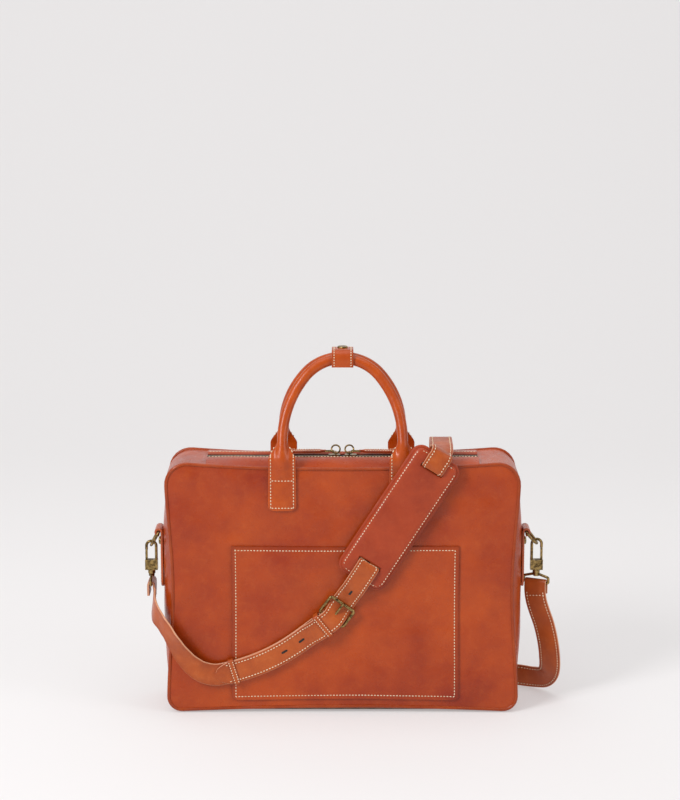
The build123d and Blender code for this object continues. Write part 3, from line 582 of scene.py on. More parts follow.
@dataclass
class Ribbon:
    """A flat leather strap that follows stations of a point and the direction of its inner face."""

    stations: list[tuple[Vector, Vector]]
    width: float
    thickness: float
    step: float = 3.0 * MM
    line: list[Vector] = field(default_factory=list)
    frames: list[tuple[Vector, Vector, Vector]] = field(default_factory=list)

    def __post_init__(self) -> None:
        """Works out the smooth middle line and a frame of along, across and outward at each point."""
        points = [point for point, _ in self.stations]
        inner_ways = [way.normalized() for _, way in self.stations]
        ways: list[Vector] = []
        last = len(points) - 1
        for i in range(last):
            count = max(2, round((points[i + 1] - points[i]).length / self.step) + 1)
            stop = count - 1 if i < last - 1 else count
            ways.extend(inner_ways[i].lerp(inner_ways[i + 1], ease(k / (count - 1))) for k in range(stop))
        self.line = smooth_path(points, self.step)
        end = len(self.line) - 1
        for i, way in enumerate(ways):
            along = (self.line[min(i + 1, end)] - self.line[max(i - 1, 0)]).normalized()
            across = way.cross(along).normalized()
            self.frames.append((along, across, along.cross(across).normalized() * -1))

    def at(self, index: int, across: float, out: float = 0.0) -> Vector:
        """Returns the point beside the middle line, `across` sideways and `out` from the middle layer."""
        _, side, outward = self.frames[index]
        return self.line[index] + side * across + outward * out

    def ring(self, index: int, width: float | None = None) -> Ring:
        """Returns the cross-section with rounded cut edges at one point of the line.

        Args:
            index: A point of its line.
            width: The width there, or None for the strap's own.

        Returns:
            The ring of points.
        """
        half = (width or self.width) / 2
        deep = self.thickness / 2
        soft = min(0.7 * MM, deep * 0.55)
        outline = [
            (-half + soft, deep),
            (-half * 0.5, deep),
            (0.0, deep),
            (half * 0.5, deep),
            (half - soft, deep),
        ]
        outline += [(half, deep - soft), (half, soft - deep)]
        outline += [(half - soft, -deep), (half * 0.5, -deep), (0.0, -deep), (-half * 0.5, -deep)]
        outline += [(-half + soft, -deep), (-half, soft - deep), (-half, deep - soft)]
        return [self.at(index, x, y) for x, y in outline]

    def skin(
        self,
        name: str,
        material: bpy.types.Material,
        start: int = 0,
        stop: int | None = None,
        taper: Callable[[int], float] | None = None,
        cut: float = 0.8,
    ) -> bpy.types.Object:
        """Builds the strap between two points of its line.

        Args:
            name: The piece's name.
            material: Its leather.
            start: First point of the line.
            stop: Last point of the line, or None for the end.
            taper: Width as a share of the full width at a point.
            cut: How pale the cut edges are.

        Returns:
            The strap.
        """
        final = len(self.line) - 1 if stop is None else stop
        rings = [self.ring(i, self.width * (taper(i) if taper else 1.0)) for i in range(start, final + 1)]
        return Skin(
            name,
            rings,
            material,
            raw=lambda _, j: cut if j in (5, 6, 12, 13) else 0.0,
            burnish=lambda _, j: 0.25 if j in (0, 4, 7, 11) else 0.0,
        ).build()

    def seam(
        self, across: float, start: int = 0, stop: int | None = None
    ) -> tuple[list[Vector], list[Vector]]:
        """Returns a seam line on the outer face and the way out at each point.

        Args:
            across: Distance from the strap's middle line.
            start: First point of the line.
            stop: Last point, or None for the end.

        Returns:
            The seam's points and the way out at each.
        """
        final = len(self.line) - 1 if stop is None else stop
        lift = self.thickness / 2
        points = [self.at(i, across, lift) for i in range(start, final + 1)]
        return points, [self.frames[i][2] for i in range(start, final + 1)]


def rounded_outline(
    half: float, low: float, high: float, low_round: float, high_round: float
) -> list[Vector]:
    """Returns a closed rounded rectangle in X and Z, counter-clockwise from the middle of its underside.

    Args:
        half: Half its width.
        low: Height of its underside.
        high: Height of its top.
        low_round: Radius of the bottom corners.
        high_round: Radius of the top corners.

    Returns:
        Points about 6 mm apart, closer in the corners, each as (x, 0, z).
    """
    runs: list[Vector] = []
    corners = (
        (half - low_round, low + low_round, low_round, -90.0),
        (half - high_round, high - high_round, high_round, 0.0),
        (high_round - half, high - high_round, high_round, 90.0),
        (low_round - half, low + low_round, low_round, 180.0),
    )
    for x, z, radius, first in corners:
        for angle in spread(first, first + 90.0, 9):
            turn = math.radians(angle)
            runs.append(Vector((x + radius * math.cos(turn), 0.0, z + radius * math.sin(turn))))
    outline: list[Vector] = [Vector((0.0, 0.0, low))]
    for point in [*runs, outline[0]]:
        gap = (point - outline[-1]).length
        count = max(1, round(gap / (6.0 * MM)))
        start = outline[-1]
        outline.extend(start.lerp(point, k / count) for k in range(1, count + 1))
    return outline[:-1]


def wobble(x: float, z: float, size: float = 55.0 * MM, seed: float = 0.0) -> float:
    """Returns a smooth value from -1 to 1 that changes over about one size."""
    return noise.noise(Vector((x / size, z / size, seed)))


# ---------------------------------------------------------------- repeats


class Shape(Enum):
    """What a repeated piece looks like."""

    STITCH = "stitch"
    TOOTH = "tooth"


@dataclass
class Row:
    """Repeats one small piece along lines: saddle stitches in a seam, or the teeth of a zip."""

    name: str
    shape: Shape
    material: bpy.types.Material
    pitch: float
    size: tuple[float, float, float]
    lines: list[tuple[list[Vector], list[Vector]]] = field(default_factory=list)

    def along(self, points: list[Vector], outs: list[Vector]) -> Row:
        """Adds a line and the way out of the surface at each of its points."""
        self.lines.append((points, outs))
        return self

    def guide(self) -> bpy.types.Object:
        """Returns a mesh of the lines with the way out as a point attribute.

        Returns:
            The guide mesh.
        """
        points: list[Vector] = []
        outs: list[Vector] = []
        edges: list[tuple[int, int]] = []
        for line, ways in self.lines:
            first = len(points)
            points.extend(line)
            outs.extend(ways)
            edges.extend((first + i, first + i + 1) for i in range(len(line) - 1))
        mesh = bpy.data.meshes.new(self.name)
        mesh.from_pydata([tuple(point) for point in points], edges, [])
        layer = mesh.attributes.new("out", "FLOAT_VECTOR", "POINT")
        layer.data.foreach_set("vector", [value for way in outs for value in way])
        guide = bpy.data.objects.new(f"{self.name}_guide", mesh)
        bpy.context.scene.collection.objects.link(guide)
        return guide

    def tree(self) -> tuple[bpy.types.NodeTree, dict[str, str]]:
        """Builds the node tree that turns lines into rows.

        Returns:
            The tree, and the identifier of each named input.
        """
        tree = bpy.data.node_groups.new(f"{self.name}_row", "GeometryNodeTree")
        face = tree.interface
        face.new_socket("Lines", in_out="INPUT", socket_type="NodeSocketGeometry")
        named = {
            "Pitch": face.new_socket("Pitch", in_out="INPUT", socket_type="NodeSocketFloat"),
            "Size": face.new_socket("Size", in_out="INPUT", socket_type="NodeSocketVector"),
            "Finish": face.new_socket("Finish", in_out="INPUT", socket_type="NodeSocketMaterial"),
        }
        face.new_socket("Row", in_out="OUTPUT", socket_type="NodeSocketGeometry")
        source = add(tree, "NodeGroupInput")
        curve = add(tree, "GeometryNodeMeshToCurve", {"Mesh": source.outputs["Lines"]})
        even = add(
            tree,
            "GeometryNodeResampleCurve",
            {"Curve": curve.outputs["Curve"], "Length": source.outputs["Pitch"]},
            mode="LENGTH",
        )
        if self.shape is Shape.STITCH:
            unit = add(tree, "GeometryNodeMeshUVSphere", {"Segments": 6, "Rings": 4, "Radius": 0.5})
        else:
            unit = add(tree, "GeometryNodeMeshCube", {"Size": (1.0, 1.0, 1.0)})
        tangent = add(tree, "GeometryNodeInputTangent")
        way = add(tree, "GeometryNodeInputNamedAttribute", {"Name": "out"}, data_type="FLOAT_VECTOR")
        run = add(tree, "FunctionNodeAlignRotationToVector", {"Vector": tangent.outputs["Tangent"]}, axis="X")
        turn = add(
            tree,
            "FunctionNodeAlignRotationToVector",
            {"Rotation": run.outputs["Rotation"], "Vector": way.outputs["Attribute"]},
            axis="Z",
            pivot_axis="X",
        )
        placed = add(
            tree,
            "GeometryNodeInstanceOnPoints",
            {
                "Points": even.outputs["Curve"],
                "Instance": unit.outputs["Mesh"],
                "Rotation": turn.outputs["Rotation"],
                "Scale": source.outputs["Size"],
            },
        )
        real = add(tree, "GeometryNodeRealizeInstances", {"Geometry": placed.outputs["Instances"]})
        dressed = add(
            tree,
            "GeometryNodeSetMaterial",
            {"Geometry": real.outputs["Geometry"], "Material": source.outputs["Finish"]},
        )
        add(tree, "NodeGroupOutput", {"Row": dressed.outputs["Geometry"]})
        return tree, {key: socket.identifier for key, socket in named.items()}

    def build(self) -> bpy.types.Object:
        """Evaluates the rows into one plain mesh.

        Returns:
            The mesh object at the origin.
        """
        guide = self.guide()
        tree, inputs = self.tree()
        modifier = guide.modifiers.new("row", "NODES")
        modifier.node_group = tree
        modifier[inputs["Pitch"]] = self.pitch
        modifier[inputs["Size"]] = self.size
        modifier[inputs["Finish"]] = self.material
        bpy.context.view_layer.update()
        seen = guide.evaluated_get(bpy.context.evaluated_depsgraph_get())
        mesh = bpy.data.meshes.new_from_object(seen)
        guide.modifiers.clear()
        bpy.data.objects.remove(guide)
        mesh.name = self.name
        if self.shape is Shape.STITCH:
            mesh.shade_smooth()
        if not mesh.materials:
            mesh.materials.append(self.material)
        piece = bpy.data.objects.new(self.name, mesh)
        bpy.context.scene.collection.objects.link(piece)
        return piece


def stitches(name: str, palette: Palette, pitch_mm: float = 3.5) -> Row:
    """Returns an empty row of saddle stitches in waxed thread, each most of a pitch long."""
    size = (0.7 * pitch_mm * MM, 1.2 * MM, 0.8 * MM)
    return Row(name, Shape.STITCH, palette[Finish.THREAD], pitch_mm * MM, size)


# ---------------------------------------------------------------- the case


@dataclass
class Shell:
    """The slack outline that every panel, seam and edge of the case follows."""

    half_width: float = 195.5 * MM
    height: float = 286.0 * MM
    face: float = 40.0 * MM
    edge_drop: float = 1.8 * MM
    dent: float = 0.7 * MM
    pinch: float = 0.034
    top_sag: float = 6.0 * MM
    base_bow: float = 5.0 * MM
    corner_rise: float = 2.5 * MM

    def lay(self, x: float, z: float) -> tuple[float, float]:
        """Returns where a point of the flat outline goes on the slack case.

        Args:
            x: Place along the case.
            z: Height.

        Returns:
            The place and height on the slack case.
        """
        up = clamp(z / self.height)
        reach = clamp(abs(x) / self.half_width)
        middle = 1.0 - reach**2
        squeeze = 1.0 - self.pinch * math.sin(math.pi * up) ** 2 * reach**3
        sink = self.base_bow * middle * (1.0 - up) ** 3 - self.top_sag * middle * up**3
        sink += self.corner_rise * reach**4 * up**8
        return x * squeeze, z + sink + 0.5 * MM * wobble(x, z, 60.0 * MM, 3.0) * middle

    def skin(self, x: float, z: float, lift: float = 0.0, side: int = -1) -> Vector:
        """Returns a point on the front or back face of the case.

        Args:
            x: Place along the flat outline.
            z: Height on the flat outline.
            lift: How far the point stands off the leather.
            side: -1 for the front face, 1 for the back.

        Returns:
            The point.
        """
        across, height = self.lay(x, z)
        rim = max(abs(x) / self.half_width, abs(2.0 * z / self.height - 1.0))
        deep = self.edge_drop * clamp(rim) ** 6
        deep += self.dent * (0.5 + 0.5 * wobble(x, z, 70.0 * MM, 9.0 + side)) * (1.0 - clamp(rim) ** 4)
        return Vector((across, side * (self.face - deep + lift), height))

    def rim_line(self, inset: float, side: int = -1, lift: float = 0.0) -> list[Vector]:
        """Returns the closed line that runs a distance inside the outline.

        Args:
            inset: Distance inside the edge.
            side: -1 for the front, 1 for the back.
            lift: Height off the face.

        Returns:
            The closed line.
        """
        flat = rounded_outline(
            self.half_width - inset,
            0.2 * MM + inset,
            285.8 * MM - inset,
            18.0 * MM - inset,
            28.0 * MM - inset,
        )
        return [self.skin(point.x, point.z, lift, side) for point in flat]


@dataclass
class Face:
    """A front or back panel with its piping and seams."""

    shell: Shell
    side: int
    name: str
    half: float = 192.6 * MM
    low: float = 3.0 * MM
    high: float = 283.0 * MM
    low_round: float = 15.0 * MM
    high_round: float = 25.0 * MM
    thickness: float = 2.5 * MM
    piping_radius: float = 1.95 * MM

    def half_at(self, z: float) -> float:
        """Returns the panel's half-width at a height, round its corners.

        Args:
            z: Height.

        Returns:
            Half the width.
        """
        drop = max(0.0, self.low + self.low_round - z)
        rise = max(0.0, z - (self.high - self.high_round))
        if drop > 0.0:
            return self.half - self.low_round + math.sqrt(max(0.0, self.low_round**2 - drop**2))
        return self.half - self.high_round + math.sqrt(max(0.0, self.high_round**2 - rise**2))

    def panel(self, material: bpy.types.Material) -> bpy.types.Object:
        """Builds the leather panel as a slab of two crowned faces.

        Args:
            material: Its finish.

        Returns:
            The mesh object.
        """
        bottom = [self.low + self.low_round * (1 - math.cos(a)) for a in spread(0.0, math.pi / 2, 8)]
        top = [self.high - self.high_round * (1 - math.cos(a)) for a in spread(math.pi / 2, 0.0, 9)]
        heights = bottom + spread(bottom[-1], top[0], 44)[1:-1] + top
        inward = Vector((0.0, -self.side * self.thickness, 0.0))
        rings = []
        for z in heights:
            half = self.half_at(z)
            row = [self.shell.skin(half * u, z, 0.0, self.side) for u in spread(-1.0, 1.0, 60)]
            rings.append(slab_ring(row, inward))
        return Skin(f"{self.name}_leather", rings, material).build()

    def piping(self, material: bpy.types.Material) -> bpy.types.Object:
        """Builds the rolled edge that joins the panel to the gusset.

        Args:
            material: Its finish.

        Returns:
            The mesh object.
        """
        radius = self.piping_radius
        line = self.shell.rim_line(radius, self.side)
        centre = sum(line, Vector()) / len(line)
        rings = []
        for i, point in enumerate(line):
            along = (line[(i + 1) % len(line)] - line[i - 1]).normalized()
            out = Vector((0.0, self.side, 0.0))
            across = along.cross(out).normalized()
            if across.dot(point - centre) < 0:
                across.negate()
            middle = point - out * 0.45 * MM
            ring = [
                middle + across * math.cos(a) * radius + out * math.sin(a) * radius
                for a in (math.tau * k / 12 for k in range(12))
            ]
            rings.append(ring)
        return Skin(
            f"{self.name}_rolled_edge", rings, material, closed_run=True, burnish=lambda *_: 0.42
        ).build()


@dataclass
class Gusset:
    """The soft band round the sides and the bottom, puffed out between the two rolled edges."""

    shell: Shell
    half_depth: float = 37.5 * MM
    thickness: float = 2.4 * MM
    mouth: float = 150.0 * MM
    side_reach: float = 199.0 * MM
    rest_height: float = 0.6 * MM

    def puff(self, edge: Vector, out: Vector) -> float:
        """Returns how far the middle of the band stands out past its edges.

        Args:
            edge: A point of the band's edge.
            out: The way out there.

        Returns:
            How far the middle stands out.
        """
        up = clamp(edge.z / self.shell.height)
        low = ease(min(up, 1.0 - up) / 0.33)
        side = mix(3.0 * MM, self.side_reach - abs(edge.x), low)
        under = edge.z - self.rest_height if out.z < 0 else 0.0
        return out.x**2 * side + out.z**2 * under

    def build(self, material: bpy.types.Material) -> bpy.types.Object:
        """Builds the band from one end of the zip, round the bottom, to the other end.

        Args:
            material: Its finish.

        Returns:
            The mesh object.
        """
        flat = rounded_outline(191.8 * MM, 3.2 * MM, 284.4 * MM, 15.5 * MM, 25.5 * MM)
        start = next(i for i, point in enumerate(flat) if point.z > 284.0 * MM and point.x < self.mouth)
        line = flat[start:] + flat[:start]
        line = [point for point in line if point.z < 284.0 * MM or abs(point.x) > self.mouth - 3.0 * MM]
        turn = next(i for i, point in enumerate(line) if point.x < 0)
        line = line[turn:] + line[:turn]
        rings = []
        for i, point in enumerate(line):
            ahead = line[min(i + 1, len(line) - 1)] - line[max(i - 1, 0)]
            out = Vector((ahead.z, 0.0, -ahead.x)).normalized()
            x, z = self.shell.lay(point.x, point.z)
            edge = Vector((x, 0.0, z))
            puff = self.puff(edge, out)
            row = []
            for across in spread(-1.0, 1.0, 21):
                swell = 1.0 - abs(across) ** 3
                slack = 0.8 * MM * wobble(point.z + point.x, across * 0.04, 30.0 * MM, 5.0) * swell * out.x**2
                row.append(edge + out * (puff * swell + slack) + Vector((0.0, across * self.half_depth, 0.0)))
            rings.append(slab_ring(row, out * -self.thickness))
        return Skin("gusset_leather", rings, material).build()


@dataclass
class Pocket:
    """The flat front pocket, stitched on at its sides and bottom and hemmed along its top."""

    shell: Shell
    left: float = -123.0 * MM
    right: float = 129.0 * MM
    low: float = 12.0 * MM
    high: float = 193.0 * MM
    corner: float = 5.0 * MM
    thickness: float = 2.5 * MM
    seam_inset: float = 4.6 * MM

    def row_ends(self, z: float, inset: float = 0.0) -> tuple[float, float]:
        """Returns the left and right ends of the pocket at a height, round its bottom corners.

        Args:
            z: Height.
            inset: Distance inside the edge.

        Returns:
            The left and right ends.
        """
        radius = self.corner - inset
        drop = clamp(self.low + inset + radius - z, 0.0, radius)
        pull = radius - math.sqrt(max(0.0, radius**2 - drop**2))
        return self.left + inset + pull, self.right - inset - pull

    def leather(self, material: bpy.types.Material) -> bpy.types.Object:
        """Builds the pocket leather with rounded cut edges.

        Args:
            material: Its finish.

        Returns:
            The mesh object.
        """
        round_rows = [self.low + self.corner * (1 - math.cos(a)) for a in spread(0.0, math.pi / 2, 7)]
        heights = round_rows + spread(round_rows[-1], self.high, 34)[1:]
        rings = []
        for i, z in enumerate(heights):
            start, stop = self.row_ends(z)
            rim = 0.5 * MM if i in (0, len(heights) - 1) else 0.0
            row = [self.shell.skin(x, z, self.thickness - rim) for x in spread(start, stop, 44)]
            for k in (0, -1):
                row[k].y += 0.5 * MM
            rings.append(slab_ring(row, Vector((0.0, self.thickness - 0.2 * MM, 0.0))))
        last = len(rings) - 1
        return Skin(
            "pocket_leather",
            rings,
            material,
            burnish=lambda i, j: 0.55 if i in (0, last) or j in (0, 43, 44, 89) else 0.0,
        ).build()

    def seam(self, row: Row) -> None:
        """Adds the seam that runs all round the pocket.

        Args:
            row: The row of stitches to add to.
        """
        radius = self.corner - self.seam_inset
        left, right = self.left + self.seam_inset, self.right - self.seam_inset
        low, high = self.low + self.seam_inset, self.high - self.seam_inset
        flat: list[tuple[float, float]] = [(left, z) for z in spread(high, low + radius, 30)]
        for angle in spread(180.0, 270.0, 7):
            turn = math.radians(angle)
            flat.append((left + radius + radius * math.cos(turn), low + radius + radius * math.sin(turn)))
        flat += [(x, low) for x in spread(left + radius, right - radius, 40)]
        for angle in spread(270.0, 360.0, 7):
            turn = math.radians(angle)
            flat.append((right - radius + radius * math.cos(turn), low + radius + radius * math.sin(turn)))
        flat += [(right, z) for z in spread(low + radius, high, 30)]
        flat += [(x, high) for x in spread(right, left, 50)]
        kept = [flat[0]]
        for point in flat[1:]:
            if math.dist(point, kept[-1]) > 0.3 * MM:
                kept.append(point)
        points = [self.shell.skin(x, z, self.thickness) for x, z in kept]
        row.along(points, [Vector((0.0, -1.0, 0.0))] * len(points))


# ---------------------------------------------------------------- the zipped mouth


@dataclass
class Mouth:
    """The two leather strips beside the zip, with their tapes and teeth."""

    shell: Shell
    half_length: float = 149.5 * MM
    outer: float = 38.2 * MM
    inner: float = 6.6 * MM
    ridge: float = 286.2 * MM
    thickness: float = 1.9 * MM
    still: float = 150.0 * MM
    free: float = 50.0 * MM

    def top(self, x: float, across: float, side: int) -> Vector:
        """Returns a point on a strip's upper face.

        Args:
            x: Place along the zip.
            across: 0 at the rolled edge and 1 at the zip.
            side: -1 for the front strip, 1 for the rear one.

        Returns:
            The point.
        """
        edge_x, edge_z = self.shell.lay(x, 284.6 * MM)
        wave = 0.9 * MM * wobble(x, 0.0, 34.0 * MM, 20.0 + side)
        y = mix(self.outer, self.inner + 0.7 * MM + 0.6 * wave, across)
        lip = 1.3 * MM * ease((across - 0.84) / 0.16)
        crest = self.ridge + 0.7 * MM * wobble(x, 0.1, 48.0 * MM, 30.0 + side)
        z = mix(edge_z, crest, math.sin(0.5 * math.pi * clamp(across / 0.84)) ** 1.15) - lip
        return Vector((mix(edge_x, x, across), side * y, z))

    def strip(self, side: int, half: int, material: bpy.types.Material) -> bpy.types.Object:
        """Builds the half of a strip that lies at one end of the zip.

        Args:
            side: -1 for the front strip, 1 for the rear.
            half: -1 for the left half, 1 for the right.
            material: Its finish.

        Returns:
            The mesh object.
        """
        rings = []
        for u in spread(0.0, 1.0, 34):
            x = half * u * self.half_length
            row = [self.top(x, t, side) for t in spread(0.0, 1.0, 16)]
            rings.append(slab_ring(row, Vector((0.0, 0.0, -self.thickness)), 0.3 * MM))
        name = f"{'front' if side < 0 else 'rear'}_strip_{'left' if half < 0 else 'right'}"
        return Skin(name, rings, material, burnish=lambda _, j: 0.5 if j in (15, 16, 17) else 0.0).build()

    def seam(self, side: int, half: int, row: Row) -> None:
        """Adds the seam beside the zip, which wanders with the leather."""
        xs = [half * u * (self.half_length - 3.0 * MM) for u in spread(0.012, 1.0, 60)]
        points = [self.top(x, 0.84, side) + Vector((0.0, 0.0, 0.1 * MM)) for x in xs]
        row.along(points, [Vector((0.0, side * 0.25, 1.0)).normalized()] * len(points))

    def tape(self, side: int, half: int, material: bpy.types.Material) -> bpy.types.Object:
        """Builds the woven tape under the strip's edge.

        Args:
            side: -1 for the front strip, 1 for the rear.
            half: -1 for the left half, 1 for the right.
            material: Its finish.

        Returns:
            The mesh object.
        """
        rings = []
        for u in spread(0.0, 1.0, 20):
            x = half * u * self.half_length
            row = [
                Vector((x, side * y * MM, (283.9 - 0.15 * (y > 9)) * MM))
                for y in (1.6, 4.0, 7.0, 10.0, 13.4)
            ]
            rings.append(slab_ring(row, Vector((0.0, 0.0, -0.7 * MM))))
        name = f"{'front' if side < 0 else 'rear'}_tape_{'left' if half < 0 else 'right'}"
        return Skin(name, rings, material).build()

    def teeth(self, side: int, half: int, material: bpy.types.Material) -> bpy.types.Object:
        """Builds the metal teeth of one half-row, set half a pitch apart from the facing row.

        Args:
            side: -1 for the front strip, 1 for the rear.
            half: -1 for the left half, 1 for the right.
            material: Its finish.

        Returns:
            The mesh object.
        """
        name = f"{'front' if side < 0 else 'rear'}_teeth_{'left' if half < 0 else 'right'}"
        pitch = 2.2 * MM
        row = Row(name, Shape.TOOTH, material, pitch, (1.05 * MM, 2.0 * MM, 2.3 * MM))
        shift = 0.5 * pitch if side > 0 else 0.0
        ends = (half * (16.2 * MM + shift), half * (149.0 * MM))
        points = [Vector((x, side * 0.95 * MM, 283.6 * MM)) for x in spread(*ends, 30)]
        return row.along(points, [Vector((0.0, 0.0, 1.0))] * len(points)).build()

    def dress(self, palette: Palette) -> None:
        """Builds all the mouth's pieces.

        Args:
            palette: The finishes of the briefcase.
        """
        for side, name in ((-1, "front"), (1, "rear")):
            for half in (-1, 1):
                seam = stitches(f"{name}_strip_seam_{'left' if half < 0 else 'right'}", palette)
                self.seam(side, half, seam)
                leather = self.strip(side, half, palette[Finish.PANEL])
                tape = self.tape(side, half, palette[Finish.TAPE_AND_SLOT_SHADE])
                teeth = self.teeth(side, half, palette[Finish.BRASS])
                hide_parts(f"zip_strip_{name}")
                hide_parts(f"zip_tape_{name}")
                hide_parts(f"zip_teeth_{name}")
                for piece, slot in (
                    (leather, "leather_tan"),
                    (seam.build(), "leather_tan"),
                    (tape, "zip_tape"),
                    (teeth, "zip_metal"),
                ):
                    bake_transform(piece)
        LOG.info("mouth: strips, tapes, teeth and seams")


@dataclass
class PullTab:
    """A leather zip pull that lies on the closed zip."""

    side: int
    near: float = 22.85 * MM
    far: float = 68.85 * MM
    width: float = 10.4 * MM
    thickness: float = 2.6 * MM

    def dress(self, palette: Palette) -> None:
        """Builds the tab and its seam, in the place of its CAD solid.

        Args:
            palette: The finishes of the briefcase.
        """
        name = "left" if self.side < 0 else "right"
        low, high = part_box(f"{name}_pull_tab")
        middle = (low + high) / 2
        rings = []
        stations = [(low.x if self.side > 0 else high.x, 0.28)]
        root = self.side * self.near
        stations += [(root - self.side * 1.2 * MM, 0.3), (root, 0.5), (root + self.side * 1.6 * MM, 0.86)]
        stations += [(root + self.side * d * MM, 1.0) for d in (4.0, 12.0, 20.0, 28.0, 36.0, 41.0)]
        stations += [(self.side * (self.far - d * MM), w) for d, w in ((2.6, 0.94), (1.0, 0.78), (0.0, 0.5))]
        for x, share in stations:
            half = share * self.width / 2
            arch = 0.25 * MM * math.sin(abs(x) * 90.0)
            row = [
                Vector((x, middle.y + half * u, high.z + arch - 0.45 * MM * abs(u) ** 4))
                for u in spread(-1.0, 1.0, 9)
            ]
            rings.append(slab_ring(row, Vector((0.0, 0.0, 0.5 * MM - self.thickness)), 0.25 * MM))
        piece = Skin(
            f"{name}_pull_leather",
            rings,
            palette[Finish.TRIM],
            burnish=lambda _, j: 0.8 if j in (0, 8, 9, 19) else 0.0,
        ).build()
        seam = stitches(f"{name}_pull_seam", palette, 2.7)
        reach = self.width / 2 - 1.7 * MM
        start, stop = root + self.side * 3.0 * MM, self.side * (self.far - 2.4 * MM)
        top = high.z + 0.1 * MM
        loop = [(x, -reach) for x in spread(start, stop, 12)] + [(x, reach) for x in spread(stop, start, 12)]
        points = [Vector((x, middle.y + y, top)) for x, y in loop]
        seam.along(points, [Vector((0.0, 0.0, 1.0))] * len(points))
        thread = seam.build()
        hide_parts(f"{name}_pull_tab")
        for item in (piece, thread):
            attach(item, f"{name}_pull")
        LOG.info("%s zip pull", name)


# ---------------------------------------------------------------- handles


